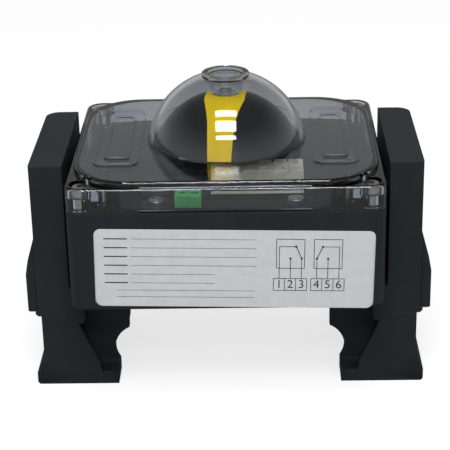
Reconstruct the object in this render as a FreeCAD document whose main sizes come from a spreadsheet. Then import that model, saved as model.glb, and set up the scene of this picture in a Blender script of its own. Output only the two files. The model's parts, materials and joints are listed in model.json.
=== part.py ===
import FreeCAD, Part

import math
import os

import Sketcher

# Valve limit switch box on a two-legged actuator bracket.
# Origin: on the drive shaft's axis, in the plane that the feet stand on.
# +Z is up, +X is to the right and +Y is to the rear, where the cable entries are.

Vector = FreeCAD.Vector
Rotation = FreeCAD.Rotation

# ---------------------------------------------------------------- driving dimensions, in mm

SIZES = [
    # housing
    ("BodyWidth", 130.0, "housing, left to right"),
    ("BodyDepth", 110.0, "housing, front to rear"),
    ("BodyHeight", 42.9, "underside to parting line"),
    ("RootDepth", 0.5, "how far an added boss, plate or web starts inside its carrier"),
    ("ArmBossWall", 0.6, "boss behind an arm screw, wider than the screw's head"),
    ("ArmBossDrop", 2.0, "boss behind an arm screw, below the screw"),
    ("ArmBossLength", 8.5, "boss behind an arm screw, inwards"),
    ("ArmHoleDepth", 12.0, "hole for an arm screw's thread"),
    ("SaddleBossHeight", 7.0, "boss over each saddle screw, upwards"),
    ("PilotDepth", 9.0, "blind holes for saddle screws and stand screws"),
    ("InsertGap", 0.2, "top of an insert below the parting plane"),
    ("BoxLift", 45.4, "underside of the housing above the mounting plane"),
    ("CornerRadius", 7.0, "upright corners of housing and cover"),
    ("BottomRound", 1.2, "rounding round the housing's underside"),
    ("HousingWall", 4.0, "straight walls"),
    ("FloorThickness", 4.0, "housing floor"),
    ("CavityRadius", 26.0, "corners of the cavity, inside the screw columns"),
    ("SpigotRadius", 15.0, "spigot round the shaft, under the floor"),
    ("SpigotHeight", 4.0, "how far the spigot stands below the floor"),
    ("BossRadius", 11.5, "shaft boss above the floor"),
    ("BossHeight", 5.6, "shaft boss above the floor"),
    ("RailWidth", 12.0, "side pads that the bracket arms bear on"),
    ("RailHeight", 2.5, "side pads, outwards"),
    ("RailPitch", 32.0, "side pads, centre to centre"),
    ("RailTop", 3.0, "top of the side pads below the parting line"),
    ("RailBottom", 6.0, "bottom of the side pads above the underside"),
    ("EntryRadius", 9.3, "crest radius of the half-inch taper pipe thread"),
    ("EntryBossRadius", 12.6, "boss round each cable entry"),
    ("EntryLength", 14.0, "depth of each cable entry"),
    ("EntrySpacing", 66.0, "between the two cable entries"),
    ("EntryRise", 20.6, "entry axis above the underside"),
    # cover
    ("CoverHeight", 12.8, "parting line to the flat top"),
    ("CoverTop", 2.5, "thickness of the flat top"),
    ("PlateauRise", 2.2, "step from the rim band to the flat top"),
    ("PlateauInset", 2.0, "width of the rim band"),
    ("PlateauRadius", 24.0, "corners of the flat top"),
    ("RingRoot", 0.6, "how far the dome's ring starts below the dome's wall"),
    ("GuideCap", 0.4, "guide tube below the dish in the ring"),
    ("PanelRoot", 0.2, "how far a raised frame starts inside the flat top"),
    ("PanelStretch", 1.8, "inset of a frame's ridge along its length, for each unit across"),
    ("PanelTurn", 0.5, "loss of a ridge's corner radius, for each unit of inset"),
    ("RimRound", 1.2, "rounding of the rim band and of the flat top"),
    ("DomeRadius", 34.4, "outside of the dome"),
    ("DomeSink", 5.7, "dome centre below the flat top"),
    ("DomeWall", 2.0, "thickness of the dome"),
    ("CrownRadius", 10.0, "flat ring on top of the dome"),
    ("CrownRise", 0.1, "ring above the dome's own top"),
    ("CrownDish", 7.6, "radius of the recess in the ring"),
    ("CrownDishDepth", 1.2, "depth of that recess"),
    ("GuideRadius", 7.0, "guide tube inside the dome"),
    ("GuideBore", 4.6, "bore of the guide tube"),
    ("GuideLength", 8.0, "guide tube below the ring"),
    ("PanelLength", 70.0, "raised frame beside the dome, front to rear"),
    ("PanelWidth", 19.0, "raised frame, left to right"),
    ("PanelCentre", 45.5, "raised frame's centre from the shaft"),
    ("PanelRadius", 5.0, "corners of the raised frame"),
    ("PanelRidge", 0.9, "width of the frame's ridge"),
    ("PanelRise", 0.7, "height of the frame's ridge"),
    ("PanelStep", 4.2, "gap from the outer ridge to the inner one"),
    ("PryWidth", 70.0, "notch for a screwdriver under the cover's front"),
    ("PryHeight", 1.2, "height of that notch"),
    ("PryDepth", 1.1, "depth of that notch"),
    # cover seal and screws
    ("SealWidth", 1.6, "seal cord, wide"),
    ("SealDepth", 1.4, "seal cord, tall"),
    ("SealInset", 1.1, "from the cavity to the seal groove"),
    ("ScrewInset", 6.5, "cover screw from both outer faces"),
    ("ScrewSeat", 7.0, "screw seat below the flat top"),
    ("ScrewPocket", 4.6, "radius of the screw pocket"),
    ("ScrewHead", 3.5, "radius of the cover screw's head"),
    ("ScrewHeadHeight", 4.0, "height of the cover screw's head"),
    ("ScrewShank", 2.0, "radius of the cover screw's thread"),
    ("ScrewLength", 16.0, "cover screw under the head"),
    ("SocketKey", 1.7, "hexagon key, half its width across corners"),
    ("InsertRadius", 2.9, "brass insert"),
    ("InsertLength", 9.0, "brass insert"),
    ("FitGap", 0.1, "play between a screw and its hole"),
    # shaft
    ("ShaftRadius", 6.0, "shaft in its bush"),
    ("ShaftLow", 30.4, "shoulder of the drive tang above the mounting plane"),
    ("StubLength", 8.4, "round drive stub above the tang"),
    ("ReliefWidth", 0.8, "relief groove between the stub and the shaft's bearing"),
    ("ReliefDepth", 0.4, "relief groove into the shaft"),
    ("TangThickness", 4.0, "drive tang across its flats"),
    ("TangLength", 4.0, "drive tang along the shaft"),
    ("TangRadius", 5.5, "rounded ends of the drive tang"),
    ("BushRadius", 8.0, "plain bush, outside"),
    ("BushFlange", 10.5, "flange of the bush"),
    ("BushFlangeHeight", 1.5, "flange of the bush"),
    ("RunningGap", 0.05, "radial play of the shaft in its bush"),
    ("RingWidth", 1.9, "O-ring groove along the shaft"),
    ("RingDepth", 1.3, "O-ring groove into the shaft"),
    ("WasherHeight", 0.7, "thrust washer on the bush"),
    ("CollarRadius", 9.0, "collar of the shaft"),
    ("CollarHeight", 2.6, "collar of the shaft"),
    ("ClipThickness", 1.0, "retaining ring under the spigot"),
    ("ClipRadius", 8.6, "retaining ring, outside"),
    ("ClipGroove", 0.8, "depth of the retaining ring's groove"),
    ("SpindleRadius", 4.0, "upper end of the shaft"),
    ("ShaftTaper", 2.0, "cone from the cams' hub to the shaft's upper end"),
    ("TangBevel", 0.4, "bevel at the tang's tip"),
    ("CapPilot", 8.0, "hole for the indicator's screw"),
    ("RingLow", 3.0, "lower O-ring groove above the spigot's end"),
    ("RingHigh", 8.0, "upper O-ring groove above the spigot's end"),
    ("RingPlay", 0.1, "play of an O-ring in its groove, above and below"),
    ("RingFill", 0.6, "share of the running gap that an O-ring fills"),
    ("ClipOpening", 2.4, "opening of the retaining ring"),
    # cams
    ("CamHub", 5.2, "shaft where the splined sleeve sits"),
    ("SleeveRadius", 6.9, "root of the sleeve's splines"),
    ("SplineDepth", 0.9, "height of the splines"),
    ("SleeveFlange", 9.6, "flange under the lower cam"),
    ("SleeveFlangeHeight", 2.2, "flange under the lower cam"),
    ("CamLow", 11.0, "cam radius with the switch free"),
    ("CamRise", 1.5, "how far the cam lifts the lever"),
    ("CamThickness", 5.0, "cam plate"),
    ("CamDwell", 25.0, "degrees at full lift after the rise"),
    ("CamReturn", 60.0, "degrees of the way down"),
    ("NotchWidth", 2.0, "pointer notch in a cam"),
    ("NotchLength", 1.2, "pointer notch in a cam"),
    ("NotchDepth", 1.0, "pointer notch in a cam"),
    ("NotchPast", 0.4, "how far the notch's cut runs past the rim"),
    ("SnapGroove", 0.6, "snap ring's groove below the splines' root"),
    ("RetainerHeight", 1.2, "snap ring above the upper cam"),
    ("RetainerBite", 0.5, "how far the snap ring reaches below the splines' root"),
    ("RetainerOpening", 3.0, "opening of the snap ring"),
    ("SpringWire", 0.7, "square wire of the cam spring"),
    ("SpringTurns", 2.5, "coils of the cam spring"),
    ("SpringRadius", 9.0, "mean radius of the cam spring"),
    # switches
    ("SwitchLength", 27.8, "miniature switch, long side"),
    ("SwitchDepth", 15.9, "miniature switch, actuator side to terminals"),
    ("SwitchThickness", 10.3, "miniature switch, thickness"),
    ("SwitchFront", 19.5, "actuator side from the shaft axis"),
    ("SwitchShift", -9.6, "middle of the switches, left of the shaft axis"),
    ("SwitchGap", 0.2, "insulating sheet between the switches"),
    ("SwitchFloor", 10.45, "underside of the lower switch above the floor"),
    ("HoleSpanLong", 22.2, "switch fixing holes, along the switch"),
    ("HoleSpanShort", 10.3, "switch fixing holes, across the switch"),
    ("HoleRadius", 1.6, "switch fixing holes"),
    ("PivotInset", 2.0, "lever pivot from the switch's end"),
    ("PivotStand", 1.9, "lever pivot in front of the switch"),
    ("PivotRadius", 0.8, "lever pivot pin"),
    ("EyeRadius", 1.4, "curled eye of the lever"),
    ("LeverThickness", 0.5, "lever strip"),
    ("LeverHeight", 4.4, "lever strip, up and down"),
    ("TipRadius", 2.2, "rolled tip of the lever"),
    ("LeverBend", 12.5, "from the lever's pivot to its bend"),
    ("TipGap", 0.3, "play between cam and lever tip"),
    ("PlungerRadius", 1.2, "switch plunger"),
    ("PlungerReach", 9.5, "plunger from the lever's pivot"),
    ("PlungerGap", 0.15, "play between lever and plunger"),
    ("PlungerLength", 2.4, "plunger, front to rear"),
    ("BladeWidth", 4.8, "switch terminal blade"),
    ("BladeThickness", 0.6, "switch terminal blade"),
    ("BladeLength", 5.0, "switch terminal blade"),
    ("SheetMetal", 1.5, "switch bracket plate"),
    # terminals
    ("StandRise", 32.1, "underside of the terminal stand above the floor"),
    ("StandPlate", 3.0, "terminal stand, front ledge"),
    ("StandStep", 2.5, "terminal stand, rear step above the ledge"),
    ("StandWidth", 70.0, "terminal stand"),
    ("StandFront", 41.0, "front edge of the stand from the shaft axis"),
    ("StandRear", 15.0, "rear edge of the stand from the shaft axis"),
    ("PostRadius", 4.5, "posts under the stand"),
    ("PostSpan", 57.4, "between the posts"),
    ("PostFront", 34.0, "posts in front of the shaft axis"),
    ("StripPoles", 6.0, "poles of the terminal strip"),
    ("PolePitch", 6.4, "terminal strip pole to pole"),
    ("StripShift", 13.0, "terminal strip right of the shaft axis"),
    ("StripFront", 30.0, "terminal strip's front face from the shaft axis"),
    ("StripDepth", 14.0, "terminal strip, front to rear"),
    ("StripHeight", 7.5, "terminal strip"),
    ("EarthWidth", 11.0, "earth terminal"),
    ("EarthDepth", 8.0, "earth terminal"),
    ("EarthHeight", 5.4, "earth terminal"),
    ("EarthShift", -15.6, "earth terminal left of the shaft axis"),
    ("PanHead", 3.3, "radius of a stand screw's head"),
    ("PanHeadHeight", 2.2, "height of a stand screw's head"),
    ("ClampScrew", 1.75, "radius of a terminal screw's head"),
    ("ClampScrewHeight", 1.6, "height of a terminal screw's head"),
    ("SlotWidth", 0.7, "screwdriver slots"),
    # indicator
    ("IndicatorRadius", 33.0, "crown of the indicator"),
    ("IndicatorTop", 121.0, "top of the indicator above the mounting plane"),
    ("IndicatorWall", 31.0, "radius of the indicator's upright rim"),
    ("IndicatorRim", 100.8, "lower edge of the indicator above the mounting plane"),
    ("IndicatorShell", 1.8, "thickness of the indicator"),
    ("IndicatorFlat", 0.6, "flat on the indicator's crown, below the full dome"),
    ("StripeDepth", 0.9, "thickness of the coloured inlay"),
    ("StripeHub", 8.4, "half width of the inlay beside the hub"),
    ("StripeRim", 4.7, "half width of the inlay at the rim"),
    ("StripeWaist", 5.7, "half width of the inlay midway"),
    ("IndicatorHub", 6.4, "hub of the indicator"),
    ("HubLength", 15.0, "hub of the indicator"),
    ("IndicatorAngle", -5.0, "indicator on the shaft, in degrees"),
    ("CapWasher", 0.5, "washer of the indicator's screw"),
    ("CapHead", 2.6, "radius of that screw's head"),
    ("CapHeadHeight", 1.6, "height of that screw's head"),
    ("CapThread", 1.25, "thread of that screw"),
    ("CapLength", 7.0, "length of that screw's thread"),
    ("CapSlot", 0.8, "depth of that screw's slot"),
    # bracket
    ("ArmThickness", 14.0, "bracket arm, outwards"),
    ("ArmDepth", 69.2, "bracket arm, front to rear"),
    ("ArmTop", 101.4, "top of the arm above the mounting plane"),
    ("ArmFrontRound", 1.2, "front outer corner of the arm"),
    ("ArmLipHeight", 1.4, "upright face of the lip round the arm's lower end"),
    ("ArmLipSlope", 0.2, "slope above the lip's upright face"),
    ("LugRound", 2.6, "rounded toe of the lugs"),
    ("GripRound", 1.6, "rounded edges of the grip"),
    ("ArmBottom", 32.8, "bottom of the arm above the mounting plane"),
    ("ArmRound", 6.0, "rear outer corner of the arm"),
    ("ArmLip", 1.1, "lip round the arm's lower end"),
    ("LugReach", 3.5, "how far the arm's lugs reach under the housing"),
    ("LugDepth", 9.0, "lug, front to rear"),
    ("LugBottom", 29.0, "underside of the lugs above the mounting plane"),
    ("LugRoot", 1.2, "how far a lug starts inside the arm"),
    ("GripThickness", 4.9, "grip on the arm's outer face"),
    ("GripBottom", 33.4, "lower edge of the grip"),
    ("GripShoulder", 57.6, "where the grip starts to slope in"),
    ("GripBelly", 50.0, "top of the grip's upright face"),
    ("GripLean", 1.5, "how far the grip leans in at its shoulder"),
    ("GripTop", 69.0, "upper edge of the grip"),
    ("GripDepth", 62.0, "grip, front to rear"),
    ("ArmScrewRise", 82.0, "arm screws above the mounting plane"),
    ("ArmScrewHead", 4.2, "head of the arm screw"),
    ("ArmScrewShank", 2.4, "thread of the arm screw"),
    ("ArmSocket", 2.3, "hexagon socket of the arm screw, half its width across corners"),
    ("ArmScrewSeat", 6.0, "seat of the arm screw below the outer face"),
    ("ArmScrewRoom", 0.6, "counterbore round an arm screw's head"),
    ("ArmScrewHeadHeight", 4.0, "head of the arm screw"),
    ("ArmScrewReach", 10.0, "thread of the arm screw past the arm's inner face"),
    ("ArmSocketDepth", 2.4, "hexagon socket of the arm screw"),
    ("FootInner", 48.3, "inner end of the foot from the shaft axis"),
    ("FootOuter", 83.7, "outer end of the foot from the shaft axis"),
    ("FootThickness", 5.5, "flange of the foot"),
    ("FootBevel", 1.0, "bevel under the foot's outer end"),
    ("FlareInset", 1.1, "upper edge of the foot's flare, inwards"),
    ("FlareRise", 2.8, "upper edge of the foot's flare above the flange"),
    ("FlareTop", 4.8, "where the flare meets the leg, above the flange"),
    ("LegOuter", 80.2, "outer face of the leg from the shaft axis"),
    ("LegWall", 4.0, "outer wall of the leg"),
    ("PlateThickness", 3.5, "front and rear plates of the leg"),
    ("PlateToe", 7.0, "foot of the plates from the flange's inner end"),
    ("PlateToeRun", 8.0, "start of the plates' slant from the flange's inner end"),
    ("PlateToeRise", 4.5, "start of the plates' slant above the flange"),
    ("SlantGap", 0.6, "top of the plates' slant inside the housing's side"),
    ("WebSetback", 11.0, "inner webs behind the leg's front face"),
    ("WebInner", 43.7, "inner edge of the webs from the shaft axis"),
    ("WebToe", 3.0, "horn of the webs above the flange"),
    ("ArmGap", 0.3, "webs and saddle clear of the arm"),
    ("ScallopRadius", 10.8, "scallop in the inner webs"),
    ("ScallopCentre", 39.4, "scallop centre from the shaft axis"),
    ("ScallopRise", 11.8, "scallop centre above the mounting plane"),
    ("SaddleThickness", 4.0, "saddle of the leg under the housing"),
    ("BoltSpanWide", 130.0, "actuator bolts, left to right"),
    ("BoltSpanDeep", 30.0, "actuator bolts, front to rear"),
    ("BoltHole", 2.75, "radius of the actuator bolt holes"),
    ("SaddleScrewSpan", 112.0, "saddle screws, left to right"),
    ("SaddleScrewPitch", 24.0, "saddle screws, front to rear"),
    ("SaddleBoss", 4.6, "boss over each saddle screw"),
    ("SaddleHeadHeight", 2.4, "head of the saddle screw"),
    ("SaddleScrewReach", 8.5, "thread of the saddle screw in the housing"),
    ("SaddleSocketDepth", 1.4, "hexagon socket of the saddle screw"),
]

doc = FreeCAD.newDocument("LimitSwitchBox")
sheet = doc.addObject("Spreadsheet::Sheet", "Sizes")
for row, (alias, value, note) in enumerate(SIZES, start=1):
    sheet.set(f"A{row}", alias)
    sheet.set(f"B{row}", str(value))
    sheet.set(f"C{row}", note)
    sheet.setAlias(f"B{row}", alias)
doc.recompute()

# ---------------------------------------------------------------- sizes that keep their formula


class Term:
    """A number together with the spreadsheet formula that it comes from."""

    def __init__(self, value, formula):
        self.value = value
        self.formula = formula

    def __add__(self, other):
        return Term(self.value + number(other), f"({self.formula} + {formula(other)})")

    def __sub__(self, other):
        return Term(self.value - number(other), f"({self.formula} - {formula(other)})")

    def __mul__(self, other):
        return Term(self.value * number(other), f"({self.formula} * {formula(other)})")

    def __truediv__(self, other):
        return Term(self.value / number(other), f"({self.formula} / {formula(other)})")

    def __radd__(self, other):
        return Term(number(other) + self.value, f"({formula(other)} + {self.formula})")

    def __rsub__(self, other):
        return Term(number(other) - self.value, f"({formula(other)} - {self.formula})")

    __rmul__ = __mul__

    def __neg__(self):
        return Term(-self.value, f"(-1 * {self.formula})")

    def __float__(self):
        return float(self.value)


class SizeTable:
    """Gives each alias of the spreadsheet as a Term: S.BodyWidth."""

    def __getattr__(self, alias):
        return Term(float(sheet.get(alias)), f"Sizes.{alias}")


def number(term):
    return term.value if isinstance(term, Term) else float(term)


def formula(term):
    return term.formula if isinstance(term, Term) else repr(float(term))


def bind(item, name, term):
    """Sets a property, or one of its parts, to a formula of the spreadsheet."""
    item.setExpression(name, formula(term))


S = SizeTable()

half_width = S.BodyWidth / 2
half_depth = S.BodyDepth / 2
parting = S.BoxLift + S.BodyHeight
cover_top = parting + S.CoverHeight
floor_top = S.BoxLift + S.FloorThickness
boss_top = floor_top + S.BossHeight
spigot_bottom = S.BoxLift - S.SpigotHeight
dome_centre = cover_top - S.DomeSink
crown_top = dome_centre + S.DomeRadius + S.CrownRise
screw_x = half_width - S.ScrewInset
screw_y = half_depth - S.ScrewInset
screw_seat = cover_top - S.ScrewSeat
cavity_x = half_width - S.HousingWall
cavity_y = half_depth - S.HousingWall
entry_z = S.BoxLift + S.EntryRise
washer_bottom = boss_top + S.BushFlangeHeight
collar_bottom = washer_bottom + S.WasherHeight + S.RunningGap
sleeve_bottom = collar_bottom + S.CollarHeight
switch_bottom = floor_top + S.SwitchFloor
lower_level = switch_bottom + S.SwitchThickness / 2
upper_level = lower_level + S.SwitchThickness + S.SwitchGap
upper_cam_top = upper_level + S.CamThickness / 2
retainer_top = upper_cam_top + S.RetainerHeight
sleeve_top = retainer_top + 1.0
ledge_top = floor_top + S.StandRise + S.StandPlate
step_top = ledge_top + S.StandStep
arm_inner = half_width + S.RailHeight
arm_outer = arm_inner + S.ArmThickness
arm_half = S.ArmDepth / 2
pivot_x = S.SwitchShift - S.SwitchLength / 2 + S.PivotInset
pivot_y = S.SwitchFront - S.PivotStand
plunger_x = pivot_x + S.PlungerReach
lever_slope = S.CamRise / (-1 * pivot_x)
indicator_seat = S.IndicatorTop - S.IndicatorFlat

pieces = []

# ---------------------------------------------------------------- modelling helpers


def new_body(label, several=False):
    body = doc.addObject("PartDesign::Body", label)
    body.Label = label
    body.AllowCompound = several
    pieces.append(body)
    return body


def origin_plane(body, role):
    return [item for item in body.Origin.OriginFeatures if item.Role == role][0]


def new_sketch(body, role, lift):
    """A sketch on an origin plane, moved along the plane's normal: +Z, -Y or +X."""
    sketch = body.newObject("Sketcher::SketchObject", "Sketch")
    sketch.AttachmentSupport = [(origin_plane(body, role), "")]
    sketch.MapMode = "FlatFace"
    bind(sketch, "AttachmentOffset.Base.z", lift)
    return sketch


def flat(body, height):
    """A horizontal sketch at a height."""
    return new_sketch(body, "XY_Plane", height)


def upright(body, depth):
    """A sketch in X and Z at a depth Y."""
    return new_sketch(body, "XZ_Plane", -1 * depth)


def sideways(body, distance):
    """A sketch in Y and Z at a distance X."""
    return new_sketch(body, "YZ_Plane", distance)


def limit(sketch, kind, term, *where):
    index = sketch.addConstraint(Sketcher.Constraint(kind, *where, number(term)))
    if isinstance(term, Term):
        bind(sketch, f"Constraints[{index}]", term)


def pin_point(sketch, geometry, end, x, y):
    limit(sketch, "DistanceX", x, -1, 1, geometry, end)
    limit(sketch, "DistanceY", y, -1, 1, geometry, end)


def point(x, y):
    return Vector(number(x), number(y), 0)


def polygon(sketch, corners):
    """A closed outline of straight lines; every corner is held by its coordinates."""
    first = sketch.GeometryCount
    total = len(corners)
    for index in range(total):
        start = point(*corners[index])
        end = point(*corners[(index + 1) % total])
        sketch.addGeometry(Part.LineSegment(start, end), False)
    for index in range(total):
        following = first + (index + 1) % total
        sketch.addConstraint(Sketcher.Constraint("Coincident", first + index, 2, following, 1))
        pin_point(sketch, first + index, 1, *corners[index])
    return sketch


def rectangle(sketch, x_low, x_high, y_low, y_high):
    return polygon(sketch, [(x_low, y_low), (x_high, y_low), (x_high, y_high), (x_low, y_high)])


def circle(sketch, x, y, radius):
    index = sketch.addGeometry(Part.Circle(point(x, y), Vector(0, 0, 1), number(radius)), False)
    limit(sketch, "Radius", radius, index)
    pin_point(sketch, index, 3, x, y)
    return sketch


def rounded_rectangle(sketch, half_x, half_y, radius, centre_x=0.0, centre_y=0.0):
    """Four straight sides held by their ends, joined by four equal arcs."""
    first = sketch.GeometryCount
    inner_x = half_x - radius
    inner_y = half_y - radius
    sides = [
        ((-1, 0, inner_x, half_y, -1), (1, 0, inner_x, half_y, -1)),
        ((1, 1, half_x, inner_y, -1), (1, 1, half_x, inner_y, 1)),
        ((1, 0, inner_x, half_y, 1), (-1, 0, inner_x, half_y, 1)),
        ((-1, 1, half_x, inner_y, 1), (-1, 1, half_x, inner_y, -1)),
    ]
    ends = []
    for (sx, _, ax, ay, sy), (tx, _, bx, by, ty) in sides:
        start = (centre_x + sx * ax, centre_y + sy * ay)
        end = (centre_x + tx * bx, centre_y + ty * by)
        sketch.addGeometry(Part.LineSegment(point(*start), point(*end)), False)
        ends.append((start, end))
    for index, (start, end) in enumerate(ends):
        pin_point(sketch, first + index, 1, *start)
        pin_point(sketch, first + index, 2, *end)
    corners = [(1, -1, -90), (1, 1, 0), (-1, 1, 90), (-1, -1, 180)]
    for index, (sx, sy, turn) in enumerate(corners):
        centre = point(centre_x + sx * inner_x, centre_y + sy * inner_y)
        whole = Part.Circle(centre, Vector(0, 0, 1), number(radius))
        arc = Part.ArcOfCircle(whole, math.radians(turn), math.radians(turn + 90))
        corner = sketch.addGeometry(arc, False)
        following = first + (index + 1) % 4
        sketch.addConstraint(Sketcher.Constraint("Coincident", first + index, 2, corner, 1))
        sketch.addConstraint(Sketcher.Constraint("Coincident", corner, 2, following, 1))
        limit(sketch, "Radius", radius, corner)
    return sketch


def pad(body, sketch, length, backwards=False):
    feature = body.newObject("PartDesign::Pad", "Pad")
    feature.Profile = sketch
    bind(feature, "Length", length)
    feature.Reversed = backwards
    return feature


def pocket(body, sketch, depth, along_normal=False):
    """Cuts against the sketch's normal unless told to go along it."""
    feature = body.newObject("PartDesign::Pocket", "Pocket")
    feature.Profile = sketch
    bind(feature, "Length", depth)
    feature.Reversed = along_normal
    return feature


def revolve(body, sketch):
    feature = body.newObject("PartDesign::Revolution", "Turned")
    feature.Profile = sketch
    feature.ReferenceAxis = (sketch, ["V_Axis"])
    feature.Angle = 360
    return feature


def sphere(body, kind, radius, height):
    """The upper half of a ball on the shaft's axis."""
    feature = body.newObject(kind, "Ball")
    feature.AttachmentSupport = [(origin_plane(body, "XY_Plane"), "")]
    feature.MapMode = "FlatFace"
    bind(feature, "AttachmentOffset.Base.z", height)
    bind(feature, "Radius", radius)
    feature.Angle1 = 0
    return feature


def mirror(body, role):
    """Repeats all that the body holds on the other side of an origin plane."""
    feature = body.newObject("PartDesign::Mirrored", "Mirrored")
    feature.MirrorPlane = (origin_plane(body, role), [""])
    feature.TransformMode = "Whole shape"
    body.Tip = feature
    doc.recompute()
    return feature


def round_edges(body, radius, wanted, kind="PartDesign::Fillet"):
    """Rounds, or bevels, the edges for which wanted(edge) is true."""
    doc.recompute()
    base = body.Tip
    names = [f"Edge{i + 1}" for i, edge in enumerate(base.Shape.Edges) if wanted(edge)]
    feature = body.newObject(kind, "Edges")
    feature.Base = (base, names)
    bind(feature, "Radius" if kind.endswith("Fillet") else "Size", radius)
    return feature


def at_height(edge, height):
    return all(abs(vertex.Z - number(height)) < 0.01 for vertex in edge.Vertexes)


def is_upright(edge, x, y, reach=0.05):
    """True for a vertical edge through (x, y)."""
    ends = [vertex.Point for vertex in edge.Vertexes]
    near = all(math.hypot(end.x - number(x), end.y - number(y)) < reach for end in ends)
    return len(ends) == 2 and near and abs(ends[0].z - ends[1].z) > reach


def hexagon(sketch, x, y, reach):
    corners = []
    for step in range(6):
        angle = math.radians(60 * step)
        corners.append((x + reach * math.cos(angle), y + reach * math.sin(angle)))
    return polygon(sketch, corners)


def down_screw(body, x, y, seat, head, head_height, shank, length, socket):
    """A screw that points down, with its head on a seat and a hexagon socket."""
    pad(body, circle(flat(body, seat), x, y, head), head_height)
    round_edges(body, head_height / 8, lambda edge: at_height(edge, seat + head_height))
    pocket(body, hexagon(flat(body, seat + head_height), x, y, socket), head_height * 0.55)
    pad(body, circle(flat(body, seat), x, y, shank), length, backwards=True)


def code_piece(label, shape):
    """A piece whose shape comes from Part's own functions."""
    item = doc.addObject("Part::Feature", label)
    item.Label = label
    item.Shape = shape
    pieces.append(item)
    return item


# ---------------------------------------------------------------- housing


def base_housing():
    """Moulded lower shell: floor, walls, screw columns, shaft boss, entries and posts."""
    body = new_body("base_housing")
    outline = rounded_rectangle(flat(body, S.BoxLift), half_width, half_depth, S.CornerRadius)
    pad(body, outline, S.BodyHeight)
    round_edges(body, S.BottomRound, lambda edge: at_height(edge, S.BoxLift))
    cavity = rounded_rectangle(flat(body, parting), cavity_x, cavity_y, S.CavityRadius)
    pocket(body, cavity, S.BodyHeight - S.FloorThickness)

    # boss and spigot that hold the shaft's bush
    pad(body, circle(flat(body, S.BoxLift), 0, 0, S.BossRadius), boss_top - S.BoxLift)
    pad(body, circle(flat(body, spigot_bottom), 0, 0, S.SpigotRadius), S.SpigotHeight)
    pocket(body, circle(flat(body, boss_top), 0, 0, S.BushRadius), boss_top - spigot_bottom)

    # pads on both sides that the bracket arms bear on
    for side in (-1, 1):
        rails = sideways(body, side * half_width)
        for end in (-1, 1):
            middle = end * S.RailPitch / 2
            rectangle(rails, middle - S.RailWidth / 2, middle + S.RailWidth / 2,
                      S.BoxLift + S.RailBottom, parting - S.RailTop)
        pad(body, rails, S.RailHeight, backwards=side < 0)

    # blind bosses behind the arm screws, and their holes
    for side in (-1, 1):
        bosses = sideways(body, side * (cavity_x + S.RootDepth))
        holes = sideways(body, side * arm_inner)
        for end in (-1, 1):
            circle(bosses, end * S.RailPitch / 2, S.ArmScrewRise - S.ArmBossDrop,
                   S.ArmScrewHead + S.ArmBossWall)
            circle(holes, end * S.RailPitch / 2, S.ArmScrewRise, S.ArmScrewShank + S.FitGap)
        pad(body, bosses, S.ArmBossLength, backwards=side > 0)
        pocket(body, holes, S.ArmHoleDepth, along_normal=side < 0)

    # bosses over the saddle screws
    for side in (-1, 1):
        for end in (-1, 1):
            x = side * S.SaddleScrewSpan / 2
            y = end * S.SaddleScrewPitch / 2
            boss = circle(flat(body, floor_top - S.RootDepth), x, y, S.SaddleBoss)
            pad(body, boss, S.SaddleBossHeight)
            hole = circle(flat(body, S.BoxLift), x, y, S.ScrewShank + S.FitGap)
            pocket(body, hole, S.PilotDepth, along_normal=True)

    # posts under the terminal stand
    posts = flat(body, floor_top - S.RootDepth)
    pilots = flat(body, floor_top + S.StandRise)
    for side in (-1, 1):
        circle(posts, side * S.PostSpan / 2, -S.PostFront, S.PostRadius)
        circle(pilots, side * S.PostSpan / 2, -S.PostFront, S.ScrewShank + S.FitGap)
    pad(body, posts, S.StandRise + S.RootDepth)
    pocket(body, pilots, S.PilotDepth)

    # cable entries through the rear wall
    for side in (-1, 1):
        x = side * S.EntrySpacing / 2
        boss = circle(upright(body, cavity_y + S.RootDepth), x, entry_z, S.EntryBossRadius)
        pad(body, boss, S.EntryLength - S.HousingWall + S.RootDepth)
        pocket(body, circle(upright(body, half_depth + 1), x, entry_z, S.EntryRadius),
               S.EntryLength + 2, along_normal=True)

    # groove for the seal, and the pilot holes of the cover screws with their inserts
    groove = flat(body, parting)
    seal_outline(groove)
    pocket(body, groove, S.SealDepth)
    for side in (-1, 1):
        for end in (-1, 1):
            x = side * screw_x
            y = end * screw_y
            pocket(body, circle(flat(body, parting), x, y, S.InsertRadius), S.InsertLength)
            pocket(body, circle(flat(body, parting), x, y, S.ScrewShank + S.FitGap),
                   S.ScrewLength)
    return body


def seal_outline(sketch):
    """Two rounded rectangles that follow the cavity, with the seal cord between them."""
    near = S.SealInset
    far = near + S.SealWidth
    for step in (near, far):
        rounded_rectangle(sketch, cavity_x + step, cavity_y + step, S.CavityRadius + step)
    return sketch


def cover_seal():
    body = new_body("cover_seal")
    pad(body, seal_outline(flat(body, parting - S.SealDepth)), S.SealDepth)
    return body


def screw_inserts():
    """Brass inserts moulded into the four screw columns."""
    body = new_body("cover_screw_inserts", several=True)
    ring = flat(body, parting - S.InsertLength)
    circle(ring, screw_x, screw_y, S.InsertRadius)
    circle(ring, screw_x, screw_y, S.ScrewShank + S.FitGap)
    pad(body, ring, S.InsertLength - S.InsertGap)
    mirror(body, "YZ_Plane")
    mirror(body, "XZ_Plane")
    return body


def cover_screws():
    body = new_body("cover_screws", several=True)
    down_screw(body, screw_x, screw_y, screw_seat, S.ScrewHead, S.ScrewHeadHeight,
               S.ScrewShank, S.ScrewLength, S.SocketKey)
    mirror(body, "YZ_Plane")
    mirror(body, "XZ_Plane")
    return body


# ---------------------------------------------------------------- clear cover


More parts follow.
